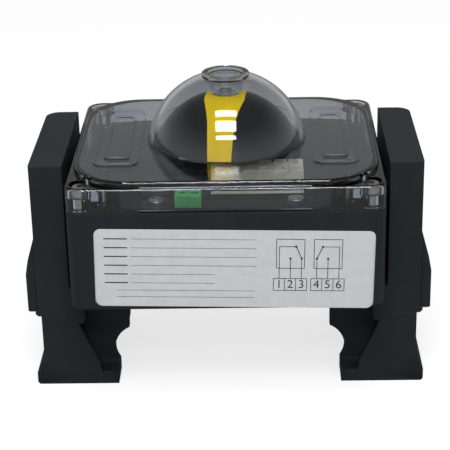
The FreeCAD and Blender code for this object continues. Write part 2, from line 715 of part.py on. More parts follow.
def clear_cover():
    """Clear moulded cover: skirt, flat top, dome with its ring and guide tube."""
    body = new_body("clear_cover")
    band_height = S.CoverHeight - S.PlateauRise
    skirt = rounded_rectangle(flat(body, parting), half_width, half_depth, S.CornerRadius)
    pad(body, skirt, band_height)
    round_edges(body, S.RimRound, lambda edge: at_height(edge, parting + band_height))
    plateau = rounded_rectangle(flat(body, parting + band_height - 1),
                                half_width - S.PlateauInset, half_depth - S.PlateauInset,
                                S.PlateauRadius)
    pad(body, plateau, S.PlateauRise + 1)
    round_edges(body, S.RimRound, lambda edge: at_height(edge, cover_top))
    sphere(body, "PartDesign::AdditiveSphere", S.DomeRadius, dome_centre)
    cavity = rounded_rectangle(flat(body, parting), cavity_x, cavity_y, S.CavityRadius)
    pocket(body, cavity, S.CoverHeight - S.CoverTop, along_normal=True)
    sphere(body, "PartDesign::SubtractiveSphere", S.DomeRadius - S.DomeWall, dome_centre)

    # ring on top of the dome, and the tube inside that guides the indicator
    ring_base = crown_top - S.CrownRise - S.DomeWall - S.RingRoot
    pad(body, circle(flat(body, ring_base), 0, 0, S.CrownRadius), crown_top - ring_base)
    pocket(body, circle(flat(body, crown_top), 0, 0, S.CrownDish), S.CrownDishDepth)
    tube = flat(body, crown_top - S.GuideLength)
    circle(tube, 0, 0, S.GuideRadius)
    circle(tube, 0, 0, S.GuideBore)
    pad(body, tube, S.GuideLength - S.CrownDishDepth - S.GuideCap)

    # a double raised frame on each side of the dome
    for side in (-1, 1):
        for step in (0.0, S.PanelStep):
            frame = flat(body, cover_top - S.PanelRoot)
            for ridge in (0.0, S.PanelRidge):
                inset = ridge + step
                rounded_rectangle(frame, S.PanelWidth / 2 - inset,
                                  S.PanelLength / 2 - inset * S.PanelStretch,
                                  S.PanelRadius - inset * S.PanelTurn, side * S.PanelCentre)
            pad(body, frame, S.PanelRise + S.PanelRoot)

    # screw pockets in the corners, and the notch under the front edge
    for side in (-1, 1):
        for end in (-1, 1):
            x = side * screw_x
            y = end * screw_y
            pocket(body, circle(flat(body, cover_top + 1), x, y, S.ScrewPocket),
                   S.ScrewSeat + 1)
            pocket(body, circle(flat(body, cover_top), x, y, S.ScrewShank + 2 * S.FitGap),
                   S.CoverHeight + 1)
    notch = rectangle(flat(body, parting), -S.PryWidth / 2, S.PryWidth / 2,
                      -half_depth - 1, -half_depth + S.PryDepth)
    pocket(body, notch, S.PryHeight, along_normal=True)
    return body


# ---------------------------------------------------------------- shaft and its bearing


def drive_shaft():
    """Stainless shaft turned from bar, with a flat drive tang milled on its lower end."""
    body = new_body("drive_shaft")
    tip = S.ShaftLow - S.TangLength
    stub_top = S.ShaftLow + S.StubLength
    relief_root = S.ShaftRadius - S.ReliefDepth
    hub_top = sleeve_top
    clip_top = spigot_bottom - S.RunningGap
    groove_root = S.ShaftRadius - S.ClipGroove
    spindle_top = indicator_seat - S.FitGap
    profile = polygon(upright(body, 0), [
        (0, tip), (S.TangRadius, tip), (S.TangRadius, S.ShaftLow), (S.ShaftRadius, S.ShaftLow),
        (S.ShaftRadius, stub_top), (relief_root, stub_top),
        (relief_root, stub_top + S.ReliefWidth), (S.ShaftRadius, stub_top + S.ReliefWidth),
        (S.ShaftRadius, clip_top - S.ClipThickness), (groove_root, clip_top - S.ClipThickness),
        (groove_root, clip_top), (S.ShaftRadius, clip_top),
        (S.ShaftRadius, collar_bottom), (S.CollarRadius, collar_bottom),
        (S.CollarRadius, sleeve_bottom), (S.CamHub, sleeve_bottom),
        (S.CamHub, hub_top), (S.SpindleRadius, hub_top + S.ShaftTaper),
        (S.SpindleRadius, spindle_top), (0, spindle_top)])
    revolve(body, profile)
    for height in ring_heights():
        groove = flat(body, height)
        circle(groove, 0, 0, S.ShaftRadius + S.RootDepth)
        circle(groove, 0, 0, S.ShaftRadius - S.RingDepth)
        pocket(body, groove, S.RingWidth, along_normal=True)
    for side in (-1, 1):
        flank = rectangle(flat(body, tip), -S.ShaftRadius - 1, S.ShaftRadius + 1,
                          side * S.TangThickness / 2, side * (S.ShaftRadius + 1))
        pocket(body, flank, S.TangLength, along_normal=True)
    bevel = round_edges(body, S.TangBevel, lambda edge: at_height(edge, tip), "PartDesign::Chamfer")
    bevel.Label = "tang_bevel"
    pilot = circle(flat(body, spindle_top), 0, 0, S.CapThread + S.FitGap / 2)
    pocket(body, pilot, S.CapPilot)
    return body


def ring_heights():
    """Lower edges of the two O-ring grooves, inside the bush."""
    return [spigot_bottom + S.RingLow, spigot_bottom + S.RingHigh]


def shaft_o_rings():
    body = new_body("shaft_o_rings", several=True)
    for height in ring_heights():
        ring = flat(body, height + S.RingPlay)
        circle(ring, 0, 0, S.ShaftRadius + S.RunningGap * S.RingFill)
        circle(ring, 0, 0, S.ShaftRadius - S.RingDepth)
        pad(body, ring, S.RingWidth - 2 * S.RingPlay)
    return body


def shaft_bush():
    """Flanged plain bush pressed into the floor boss."""
    body = new_body("shaft_bush")
    sleeve = flat(body, spigot_bottom)
    circle(sleeve, 0, 0, S.BushRadius)
    circle(sleeve, 0, 0, S.ShaftRadius + S.RunningGap)
    pad(body, sleeve, boss_top - spigot_bottom)
    flange = flat(body, boss_top)
    circle(flange, 0, 0, S.BushFlange)
    circle(flange, 0, 0, S.ShaftRadius + S.RunningGap)
    pad(body, flange, S.BushFlangeHeight)
    return body


def thrust_washer():
    body = new_body("thrust_washer")
    ring = flat(body, washer_bottom)
    circle(ring, 0, 0, S.CollarRadius)
    circle(ring, 0, 0, S.ShaftRadius + S.RunningGap)
    pad(body, ring, S.WasherHeight)
    return body


def retaining_ring():
    """Open spring ring with two lugs, in its groove under the spigot."""
    body = new_body("retaining_ring")
    bottom = spigot_bottom - S.RunningGap - S.ClipThickness
    inner = S.ShaftRadius - S.ClipGroove
    ring = flat(body, bottom)
    circle(ring, 0, 0, S.ClipRadius)
    circle(ring, 0, 0, inner)
    pad(body, ring, S.ClipThickness)
    gap = rectangle(flat(body, bottom), -1 * S.ClipOpening / 2, S.ClipOpening / 2,
                    1, S.ClipRadius + 1)
    pocket(body, gap, S.ClipThickness, along_normal=True)
    return body


# ---------------------------------------------------------------- cams


def star(root, depth, grow):
    """Outline of a splined bore or sleeve: one trapezoid tooth every 20 degrees."""
    teeth = 18
    pitch = 360.0 / teeth
    points = []
    for tooth in range(teeth):
        for share, radius in ((-0.32, root), (-0.18, root + depth), (0.18, root + depth),
                              (0.32, root)):
            angle = math.radians(pitch * (tooth + share))
            points.append(Vector((radius + grow) * math.cos(angle),
                                 (radius + grow) * math.sin(angle), 0))
    points.append(points[0])
    return Part.Face(Part.makePolygon(points))


def cam_sleeve():
    """Splined sleeve pressed on the shaft; the cams are set on its splines."""
    low = number(sleeve_bottom)
    flange_high = low + number(S.SleeveFlangeHeight)
    top = number(sleeve_top)
    splines = star(number(S.SleeveRadius), number(S.SplineDepth), 0.0)
    splines.translate(Vector(0, 0, low))
    shape = splines.extrude(Vector(0, 0, top - low))
    flange = Part.makeCylinder(number(S.SleeveFlange), flange_high - low, Vector(0, 0, low))
    bore = Part.makeCylinder(number(S.CamHub), top - low, Vector(0, 0, low))
    outer = number(S.SleeveRadius + S.SplineDepth)
    groove = Part.makeCylinder(outer + 1, number(S.RetainerHeight),
                               Vector(0, 0, number(upper_cam_top)))
    core = Part.makeCylinder(number(S.SleeveRadius - S.SnapGroove), top - low, Vector(0, 0, low))
    return code_piece("cam_sleeve", shape.fuse(flange).cut(groove.cut(core)).cut(bore))


def cam_radius(angle, rising):
    """Radius of a cam at an angle from +X, in degrees: a steady rise over a quarter turn."""
    turn = angle if rising else (90 - angle) % 360
    if turn <= 90:
        share = turn / 90.0
    else:
        past = turn - 90 - number(S.CamDwell)
        share = min(1.0, max(0.0, 1 - past / number(S.CamReturn)))
    return number(S.CamLow) + number(S.CamRise) * share


def cam(label, level, rising):
    """A flat cam with a splined bore and a pointer notch."""
    points = []
    for angle in range(0, 360, 10):
        radius = cam_radius(angle, rising)
        turn = math.radians(angle)
        points.append(Vector(radius * math.cos(turn), radius * math.sin(turn), 0))
    curve = Part.BSplineCurve()
    curve.interpolate(points, PeriodicFlag=True)
    face = Part.Face(Part.Wire(curve.toShape()))
    thickness = number(S.CamThickness)
    blank = face.extrude(Vector(0, 0, thickness))
    bore = star(number(S.SleeveRadius), number(S.SplineDepth), number(S.FitGap))
    shape = blank.cut(bore.extrude(Vector(0, 0, thickness)))
    width = number(S.NotchWidth)
    depth = number(S.NotchDepth)
    rim = -1 * number(S.CamLow + S.NotchPast)
    notch = Part.makeBox(width, number(S.NotchLength), depth,
                         Vector(-width / 2, rim, thickness - depth))
    shape = shape.cut(notch)
    shape.translate(Vector(0, 0, number(level) - thickness / 2))
    return code_piece(label, shape)


def cam_spring():
    """Coil spring of square wire that pushes the two cams apart on the sleeve."""
    bottom = number(lower_level + S.CamThickness / 2)
    top = number(upper_level - S.CamThickness / 2)
    wire = number(S.SpringWire)
    radius = number(S.SpringRadius)
    height = top - bottom - wire
    path = Part.makeHelix(height / number(S.SpringTurns), height, radius)
    corners = [Vector(radius + x * wire / 2, 0, z * wire / 2)
               for x, z in ((-1, -1), (1, -1), (1, 1), (-1, 1), (-1, -1))]
    shape = Part.Wire(path.Edges).makePipeShell([Part.makePolygon(corners)], True, True)
    shape.translate(Vector(0, 0, bottom + wire / 2))
    return code_piece("cam_spring", shape)


def cam_retainer():
    body = new_body("cam_retainer")
    ring = flat(body, upper_cam_top)
    circle(ring, 0, 0, S.SleeveFlange)
    circle(ring, 0, 0, S.SleeveRadius - S.RetainerBite)
    pad(body, ring, S.RetainerHeight)
    gap = rectangle(flat(body, upper_cam_top), -1 * S.RetainerOpening / 2,
                    S.RetainerOpening / 2, -S.SleeveFlange - 1, 0)
    pocket(body, gap, S.RetainerHeight, along_normal=True)
    return body


# ---------------------------------------------------------------- switches


def fixing_holes():
    """Centres of a switch's two fixing holes, on the diagonal."""
    middle_y = S.SwitchFront + S.SwitchDepth / 2
    return [(S.SwitchShift + end * S.HoleSpanLong / 2, middle_y + end * S.HoleSpanShort / 2)
            for end in (-1, 1)]


def micro_switch(label, level):
    """Snap-action switch: a flat case with two fixing holes and ears for its lever."""
    body = new_body(label)
    low = level - S.SwitchThickness / 2
    left = S.SwitchShift - S.SwitchLength / 2
    right = S.SwitchShift + S.SwitchLength / 2
    rear = S.SwitchFront + S.SwitchDepth
    pad(body, rectangle(flat(body, low), left, right, S.SwitchFront, rear), S.SwitchThickness)
    round_edges(body, 0.6, lambda edge: is_upright(edge, left, rear) or is_upright(edge, right, rear))
    ear_height = (S.SwitchThickness - S.LeverHeight) / 2 - 0.2
    for ear_low in (low, low + S.SwitchThickness - ear_height):
        ear = rectangle(flat(body, ear_low), pivot_x - 1.4, pivot_x + 1.4,
                        pivot_y - 1.3, S.SwitchFront + 0.5)
        pad(body, ear, ear_height)
    pin_hole = circle(flat(body, low), pivot_x, pivot_y, S.PivotRadius)
    pocket(body, pin_hole, S.SwitchThickness, along_normal=True)
    holes = flat(body, low)
    for x, y in fixing_holes():
        circle(holes, x, y, S.HoleRadius)
    pocket(body, holes, S.SwitchThickness, along_normal=True)
    well = circle(upright(body, S.SwitchFront), plunger_x, level, S.PlungerRadius + 0.1)
    pocket(body, well, 3.0, along_normal=False)
    return body


def lever_pins():
    body = new_body("lever_pins", several=True)
    for level in (lower_level, upper_level):
        low = level - S.SwitchThickness / 2
        pad(body, circle(flat(body, low), pivot_x, pivot_y, S.PivotRadius), S.SwitchThickness)
    return body


def lever(label, level, pressed):
    """Sprung-steel lever, drawn pressed about its own pin: an eye, a strip that lies along
    the switch, a bend and a rolled tip for the cam."""
    body = new_body(label)
    low = level - S.LeverHeight / 2
    tip_x = -1 * pivot_x
    tip_y = S.CamLow + S.CamRise + S.TipGap + S.TipRadius - pivot_y
    rear = S.EyeRadius
    front = rear - S.LeverThickness
    eye = flat(body, low)
    circle(eye, 0, 0, S.EyeRadius)
    circle(eye, 0, 0, S.PivotRadius + S.FitGap)
    pad(body, eye, S.LeverHeight)
    landing_x = tip_x - S.TipRadius * 0.62
    landing_y = tip_y + S.TipRadius * 0.55
    strip = polygon(flat(body, low), [
        (0.3, front), (S.LeverBend, front), (landing_x, landing_y),
        (landing_x + S.LeverThickness * 0.8, landing_y + S.LeverThickness * 0.6),
        (S.LeverBend + S.LeverThickness * 0.3, rear), (0, rear)])
    pad(body, strip, S.LeverHeight)
    tip = flat(body, low)
    circle(tip, tip_x, tip_y, S.TipRadius)
    circle(tip, tip_x, tip_y, S.TipRadius - S.LeverThickness)
    pad(body, tip, S.LeverHeight)
    bind(body, "Placement.Base.x", pivot_x)
    bind(body, "Placement.Base.y", pivot_y)
    if not pressed:
        bind(body, "Placement.Rotation.Angle", -1 * lever_slope * math.degrees(1))
    return body


def plunger(label, level, pressed):
    """Push button of the switch, guided in the case and pushed by the lever."""
    body = new_body(label)
    front = pivot_y + S.EyeRadius + S.PlungerGap
    if not pressed:
        front = front - S.PlungerReach * lever_slope
    button = circle(upright(body, front), plunger_x, level, S.PlungerRadius)
    pad(body, button, S.PlungerLength, backwards=True)
    return body


def switch_terminals():
    """Three blades on the rear of each switch."""
    body = new_body("switch_terminals", several=True)
    rear = S.SwitchFront + S.SwitchDepth
    for level in (lower_level, upper_level):
        for step in (-1, 0, 1):
            x = S.SwitchShift + step * S.SwitchLength / 3.2
            blade = rectangle(flat(body, level - S.BladeThickness / 2), x - S.BladeWidth / 2,
                              x + S.BladeWidth / 2, rear, rear + S.BladeLength)
            pad(body, blade, S.BladeThickness)
    return body


def switch_spacer():
    """Insulating sheet between the two switches."""
    body = new_body("switch_spacer")
    sheet_sketch = flat(body, lower_level + S.SwitchThickness / 2)
    rectangle(sheet_sketch, S.SwitchShift - S.SwitchLength / 2 + 0.5,
              S.SwitchShift + S.SwitchLength / 2 - 0.5, S.SwitchFront + 0.5,
              S.SwitchFront + S.SwitchDepth - 0.5)
    for x, y in fixing_holes():
        circle(sheet_sketch, x, y, S.HoleRadius)
    pad(body, sheet_sketch, S.SwitchGap)
    return body


def switch_bracket():
    """Plated steel bracket bent to a Z: foot on the floor, riser, shelf under the switches."""
    body = new_body("switch_bracket")
    front = S.SwitchFront + 0.3
    riser = S.SwitchFront + S.SwitchDepth + 0.6
    foot_end = riser + 9.0
    section = polygon(sideways(body, S.SwitchShift - 13), [
        (riser, floor_top), (foot_end, floor_top), (foot_end, floor_top + S.SheetMetal),
        (riser + S.SheetMetal, floor_top + S.SheetMetal), (riser + S.SheetMetal, switch_bottom),
        (front, switch_bottom), (front, switch_bottom - S.SheetMetal),
        (riser, switch_bottom - S.SheetMetal)])
    pad(body, section, 26.0)
    shelf_holes = flat(body, switch_bottom)
    for x, y in fixing_holes():
        circle(shelf_holes, x, y, S.HoleRadius)
    pocket(body, shelf_holes, S.SheetMetal)
    foot_holes = flat(body, floor_top)
    for side in (-1, 1):
        circle(foot_holes, S.SwitchShift + side * 8.0, riser + 5.2, S.HoleRadius)
    pocket(body, foot_holes, S.SheetMetal, along_normal=True)
    return body


def switch_screws():
    """Two long screws through both switches, with nuts under the bracket's shelf."""
    body = new_body("switch_screws", several=True)
    top = upper_level + S.SwitchThickness / 2
    under = switch_bottom - S.SheetMetal
    for x, y in fixing_holes():
        pad(body, circle(flat(body, top), x, y, 2.7), 1.8)
        pad(body, circle(flat(body, under - 3.0), x, y, S.HoleRadius - S.FitGap), top - under + 3.0)
        pad(body, hexagon(flat(body, under - 2.4), x, y, 3.0), 2.4)
        slot = rectangle(flat(body, top + 1.8), x - 3, x + 3, y - 0.35, y + 0.35)
        pocket(body, slot, 0.8)
    return body


def bracket_screws():
    """Screws that hold the switch bracket on the floor."""
    body = new_body("bracket_screws", several=True)
    seat = floor_top + S.SheetMetal
    y = S.SwitchFront + S.SwitchDepth + 5.8
    for side in (-1, 1):
        x = S.SwitchShift + side * 8.0
        pad(body, circle(flat(body, seat), x, y, 2.7), 1.8)
        pad(body, circle(flat(body, floor_top), x, y, S.HoleRadius - S.FitGap), S.SheetMetal)
        pocket(body, rectangle(flat(body, seat + 1.8), x - 3, x + 3, y - 0.35, y + 0.35), 0.8)
    return body


# ---------------------------------------------------------------- terminals


def terminal_stand():
    """Moulded shelf on two posts: a front ledge and a raised rear step."""
    body = new_body("terminal_stand")
    low = floor_top + S.StandRise
    section = polygon(sideways(body, -S.StandWidth / 2), [
        (-S.StandFront, low), (-S.StandRear, low), (-S.StandRear, step_top),
        (-S.StripFront, step_top), (-S.StripFront, ledge_top), (-S.StandFront, ledge_top)])
    pad(body, section, S.StandWidth)
    holes = flat(body, low)
    for side in (-1, 1):
        circle(holes, side * S.PostSpan / 2, -S.PostFront, S.ScrewShank + S.FitGap)
    pocket(body, holes, S.StandPlate, along_normal=True)
    return body


def stand_screws():
    body = new_body("stand_screws", several=True)
    down_screw(body, S.PostSpan / 2, -S.PostFront, ledge_top, S.PanHead, S.PanHeadHeight,
               S.ScrewShank, S.StandPlate + 8, S.SocketKey)
    mirror(body, "YZ_Plane")
    return body


def pole_positions():
    poles = int(number(S.StripPoles))
    return [S.StripShift + (index - (poles - 1) / 2) * S.PolePitch for index in range(poles)]


def terminal_strip():
    """Six-pole strip: a block with a barrier between poles and a funnel over each screw."""
    body = new_body("terminal_strip")
    half = S.StripPoles * S.PolePitch / 2
    rear = -1 * S.StripFront + S.StripDepth
    block = rectangle(flat(body, step_top), S.StripShift - half, S.StripShift + half,
                      -S.StripFront, rear)
    pad(body, block, S.StripHeight)
    wells = flat(body, step_top + S.StripHeight)
    for x in pole_positions():
        for y in screw_rows():
            circle(wells, x, y, 2.1)
    pocket(body, wells, 3.5)
    mouths = upright(body, -S.StripFront)
    for x in pole_positions():
        rectangle(mouths, x - 1.8, x + 1.8, step_top + 1.0, step_top + 3.6)
    pocket(body, mouths, 3.0)
    gaps = flat(body, step_top + S.StripHeight)
    for x in pole_positions()[:-1]:
        middle = x + S.PolePitch / 2
        rectangle(gaps, middle - 0.4, middle + 0.4, -S.StripFront - 1, rear + 1)
    pocket(body, gaps, 1.2)
    return body


def screw_rows():
    middle = -1 * S.StripFront + S.StripDepth / 2
    return [middle - 3.6, middle + 3.6]


def slotted_screws(body, places, seat, radius, height):
    for x, y in places:
        pad(body, circle(flat(body, seat), x, y, radius), height)
    slots = flat(body, seat + height)
    for x, y in places:
        rectangle(slots, x - S.SlotWidth / 2, x + S.SlotWidth / 2,
                  y - radius - S.FitGap, y + radius + S.FitGap)
    pocket(body, slots, height * 0.4)


def terminal_screws():
    body = new_body("terminal_screws", several=True)
    places = [(x, y) for x in pole_positions() for y in screw_rows()]
    slotted_screws(body, places, step_top + S.StripHeight - 3.5, S.ClampScrew, S.ClampScrewHeight)
    return body


def earth_terminal():
    """Earth terminal on the front ledge."""
    body = new_body("earth_terminal")
    rear = -1 * S.StripFront - 0.4
    block = rectangle(flat(body, ledge_top), S.EarthShift - S.EarthWidth / 2,
                      S.EarthShift + S.EarthWidth / 2, rear - S.EarthDepth, rear)
    pad(body, block, S.EarthHeight)
    round_edges(body, 0.5, lambda edge: at_height(edge, ledge_top + S.EarthHeight))
    wells = flat(body, ledge_top + S.EarthHeight)
    for side in (-1, 1):
        circle(wells, S.EarthShift + side * 2.7, rear - S.EarthDepth / 2, 1.9)
    pocket(body, wells, 2.4)
    return body


def earth_screws():
    body = new_body("earth_screws", several=True)
    y = -1 * S.StripFront - 0.4 - S.EarthDepth / 2
    places = [(S.EarthShift + side * 2.7, y) for side in (-1, 1)]
    slotted_screws(body, places, ledge_top + S.EarthHeight - 2.4, S.ClampScrew, S.ClampScrewHeight)
    return body


# ---------------------------------------------------------------- indicator


def part_primitive(kind, **values):
    item = doc.addObject(kind, "Blank")
    height = values.pop("height", 0.0)
    bind(item, "Placement.Base.z", height)
    for name, term in values.items():
        bind(item, name, term)
    return item


def combine(kind, base, tool):
    item = doc.addObject(kind, "Blank")
    item.Base = base
    item.Tool = tool
    return item


def cap(radius, centre, wall, low, top):
    """A ball on the axis kept inside an upright cylinder."""
    ball = part_primitive("Part::Sphere", Radius=radius, height=centre)
    tube = part_primitive("Part::Cylinder", Radius=wall, Height=top - low, height=low)
    return combine("Part::Common", ball, tube)


def stripe_cutter():
    """Upright prism with the inlay's outline: wide at the hub, waisted, narrow at the rim."""
    body = doc.addObject("PartDesign::Body", "StripeOutline")
    rim = S.IndicatorWall + 1
    waist = S.IndicatorWall * 0.62
    outline = polygon(flat(body, S.IndicatorRim - 1), [
        (-S.StripeRim, -rim), (S.StripeRim, -rim), (S.StripeWaist, -waist),
        (S.StripeHub, -1 * S.IndicatorHub), (S.StripeHub, S.IndicatorHub),
        (S.StripeWaist, waist), (S.StripeRim, rim), (-S.StripeRim, rim),
        (-S.StripeWaist, waist), (-S.StripeHub, S.IndicatorHub),
        (-S.StripeHub, -1 * S.IndicatorHub), (-S.StripeWaist, -waist)])
    pad(body, outline, S.IndicatorTop - S.IndicatorRim + 2)
    return body


def indicator():
    """Black domed indicator with a coloured inlay across it, on a hub on the shaft."""
    centre = S.IndicatorTop - S.IndicatorRadius
    low = S.IndicatorRim
    top = indicator_seat
    outer = cap(S.IndicatorRadius, centre, S.IndicatorWall, low, top)
    recess = cap(S.IndicatorRadius - S.StripeDepth, centre, S.IndicatorWall - S.StripeDepth,
                 low - 1, top)
    inner = cap(S.IndicatorRadius - S.IndicatorShell, centre, S.IndicatorWall - S.IndicatorShell,
                low - 1, top)
    skin = combine("Part::Cut", outer, recess)
    inlay = combine("Part::Common", skin, stripe_cutter())
    hole = part_primitive("Part::Cylinder", Radius=S.SpindleRadius + 0.02, Height=top - low + 2,
                          height=low - 1)
    stripe = combine("Part::Cut", inlay, hole)
    stripe.Label = "indicator_stripe"

    shell = combine("Part::Cut", outer, inner)
    hub_height = S.HubLength
    hub = part_primitive("Part::Cylinder", Radius=S.IndicatorHub, Height=hub_height,
                         height=indicator_seat - S.StripeDepth - hub_height)
    joined = combine("Part::Fuse", shell, hub)
    bored = combine("Part::Cut", joined, hole)
    dome = combine("Part::Cut", bored, inlay)
    dome.Label = "indicator_dome"
    for item in (stripe, dome):
        bind(item, "Placement.Rotation.Angle", S.IndicatorAngle)
        pieces.append(item)


def indicator_screw():
    """Screw and washer in one, that hold the indicator down on the shaft."""
    body = new_body("indicator_screw")
    head_low = indicator_seat + S.CapWasher
    head_top = head_low + S.CapHeadHeight
    pad(body, circle(flat(body, indicator_seat), 0, 0, S.IndicatorHub - 1), S.CapWasher)
    pad(body, circle(flat(body, head_low), 0, 0, S.CapHead), S.CapHeadHeight)
    pad(body, circle(flat(body, indicator_seat), 0, 0, S.CapThread), S.CapLength,
        backwards=True)
    slot = rectangle(flat(body, head_top), -S.CapHead - 1, S.CapHead + 1,
                     -S.SlotWidth / 2, S.SlotWidth / 2)
    pocket(body, slot, S.CapSlot)
    return body


# ---------------------------------------------------------------- bracket


def bracket_arm(label, side):
    """Side arm: a thick upright that bears on the housing's pads and hooks under its edge."""
    body = new_body(label)
    lip = arm_outer + S.ArmLip
    lip_bottom = S.ArmBottom + S.ArmLip
    lip_top = lip_bottom + S.ArmLipHeight
    profile = polygon(upright(body, -1 * arm_half), [
        (side * arm_inner, S.ArmBottom), (side * arm_outer, S.ArmBottom),
        (side * lip, lip_bottom), (side * lip, lip_top),
        (side * arm_outer, lip_top + S.ArmLipSlope), (side * arm_outer, S.ArmTop),
        (side * arm_inner, S.ArmTop)])
    pad(body, profile, S.ArmDepth, backwards=True)
    round_edges(body, S.ArmRound, lambda edge: is_upright(edge, side * arm_outer, arm_half))
    round_edges(body, S.ArmFrontRound,
                lambda edge: is_upright(edge, side * arm_outer, -1 * arm_half))

    # lugs under the housing's edge, at the front and the rear
    lug_end = half_width - S.LugReach
    for low, high in ((-1 * arm_half, -1 * arm_half + S.LugDepth), (arm_half - S.LugDepth, arm_half)):
        lug = rectangle(upright(body, low), side * lug_end, side * (arm_inner + S.LugRoot),
                        S.LugBottom, S.BoxLift)
        pad(body, lug, high - low, backwards=True)
    corner = side * lug_end
    round_edges(body, S.LugRound, lambda edge: runs_deep(edge, corner, S.LugBottom))

    # grip on the outer face, sloping in at the top
    grip_outer = arm_outer + S.GripThickness
    grip = polygon(upright(body, -1 * S.GripDepth / 2), [
        (side * (arm_outer - 1), S.GripBottom), (side * grip_outer, S.GripBottom),
        (side * grip_outer, S.GripBelly), (side * (grip_outer - S.GripLean), S.GripShoulder),
        (side * arm_outer, S.GripTop),
        (side * (arm_outer - 1), S.GripTop)])
    pad(body, grip, S.GripDepth, backwards=True)
    round_edges(body, S.GripRound,
                lambda edge: is_upright(edge, side * grip_outer, S.GripDepth / 2)
                or is_upright(edge, side * grip_outer, -1 * S.GripDepth / 2))

    # counterbored holes for the arm screws
    for end in (-1, 1):
        y = end * S.RailPitch / 2
        seat = circle(sideways(body, side * (arm_outer + 1)), y, S.ArmScrewRise,
                      S.ArmScrewHead + S.ArmScrewRoom)
        pocket(body, seat, S.ArmScrewSeat + 1, along_normal=side < 0)
        hole = circle(sideways(body, side * (arm_outer + 1)), y, S.ArmScrewRise,
                      S.ArmScrewShank + S.FitGap)
        pocket(body, hole, S.ArmThickness + 2, along_normal=side < 0)
    return body


def runs_deep(edge, x, z):
    """True for an edge that runs front to rear through (x, z)."""
    ends = [vertex.Point for vertex in edge.Vertexes]
    near = all(math.hypot(end.x - number(x), end.z - number(z)) < 0.05 for end in ends)
    return len(ends) == 2 and near and abs(ends[0].y - ends[1].y) > 0.05


def arm_screws():
    """Socket screws that hold the arms to the housing's side pads."""
    body = new_body("arm_screws", several=True)
    y = S.RailPitch / 2
    seat = arm_outer - S.ArmScrewSeat
    pad(body, circle(sideways(body, seat), y, S.ArmScrewRise, S.ArmScrewHead),
        S.ArmScrewHeadHeight)
    pad(body, circle(sideways(body, seat), y, S.ArmScrewRise, S.ArmScrewShank),
        S.ArmThickness - S.ArmScrewSeat + S.ArmScrewReach, backwards=True)
    socket = hexagon(sideways(body, seat + S.ArmScrewHeadHeight), y, S.ArmScrewRise, S.ArmSocket)
    pocket(body, socket, S.ArmSocketDepth)
    mirror(body, "XZ_Plane")
    mirror(body, "YZ_Plane")
    return body


def bracket_foot(label, side):
    """Leg and foot: flange, outer wall, front and rear plates, two webs and a saddle."""
    body = new_body(label)
    inner = side * S.FootInner
    wall_inner = S.LegOuter - S.LegWall

    # flange with its flared outer end
    flange = polygon(upright(body, -1 * arm_half), [
        (inner, 0), (side * (S.FootOuter - S.FootBevel), 0), (side * S.FootOuter, S.FootBevel),
        (side * S.FootOuter, S.FootThickness),
        (side * (S.FootOuter - S.FlareInset), S.FootThickness + S.FlareRise),
        (side * S.LegOuter, S.FootThickness + S.FlareTop),
        (side * wall_inner, S.FootThickness + S.FlareTop),
        (side * wall_inner, S.FootThickness), (inner, S.FootThickness)])
    pad(body, flange, S.ArmDepth, backwards=True)

    # outer wall
    wall = rectangle(flat(body, S.FootThickness), side * wall_inner, side * S.LegOuter,
                     -1 * arm_half, arm_half)
    pad(body, wall, S.ArmBottom - S.FootThickness)

    # front and rear plates, cut away in a slant on the inner side and stepped under the lugs
    lug_outer = arm_inner + S.LugRoot
    slant_top = half_width - S.SlantGap
    root = S.FootThickness - S.RootDepth
    for depth in (-1 * arm_half, arm_half - S.PlateThickness):
        plate = polygon(upright(body, depth), [
            (side * (S.FootInner + S.PlateToe), root), (side * S.LegOuter, root),
            (side * S.LegOuter, S.ArmBottom), (side * lug_outer, S.ArmBottom),
            (side * lug_outer, S.LugBottom), (side * slant_top, S.LugBottom),
            (side * (S.FootInner + S.PlateToeRun), S.FootThickness + S.PlateToeRise)])
        pad(body, plate, S.PlateThickness, backwards=True)

    # webs set back behind the plates, with a scallop in their inner edge
    web_near = -1 * arm_half + S.WebSetback
    saddle_outer = side * (arm_inner - S.ArmGap)
    for depth in (web_near, -1 * web_near - S.PlateThickness):
        web = polygon(upright(body, depth), [
            (inner, root), (side * S.LegOuter, root),
            (side * S.LegOuter, S.ArmBottom), (saddle_outer, S.ArmBottom),
            (saddle_outer, S.BoxLift), (side * S.WebInner, S.BoxLift),
            (side * S.WebInner, S.FootThickness + S.WebToe),
            (inner, S.FootThickness + S.WebToe)])
        pad(body, web, S.PlateThickness, backwards=True)
        scallop = circle(upright(body, depth), side * S.ScallopCentre, S.ScallopRise, S.ScallopRadius)
        pocket(body, scallop, S.PlateThickness)

    # saddle between the webs, screwed to the housing's floor
    saddle = rectangle(flat(body, S.BoxLift - S.SaddleThickness), side * S.WebInner, saddle_outer,
                       web_near + S.RootDepth, -1 * web_near - S.RootDepth)
    pad(body, saddle, S.SaddleThickness)
    for end in (-1, 1):
        bolt = circle(flat(body, 0), side * S.BoltSpanWide / 2, end * S.BoltSpanDeep / 2, S.BoltHole)
        pocket(body, bolt, S.FootThickness, along_normal=True)
        screw = circle(flat(body, S.BoxLift), side * S.SaddleScrewSpan / 2,
                       end * S.SaddleScrewPitch / 2, S.ScrewShank + S.FitGap)
        pocket(body, screw, S.SaddleThickness)
    return body


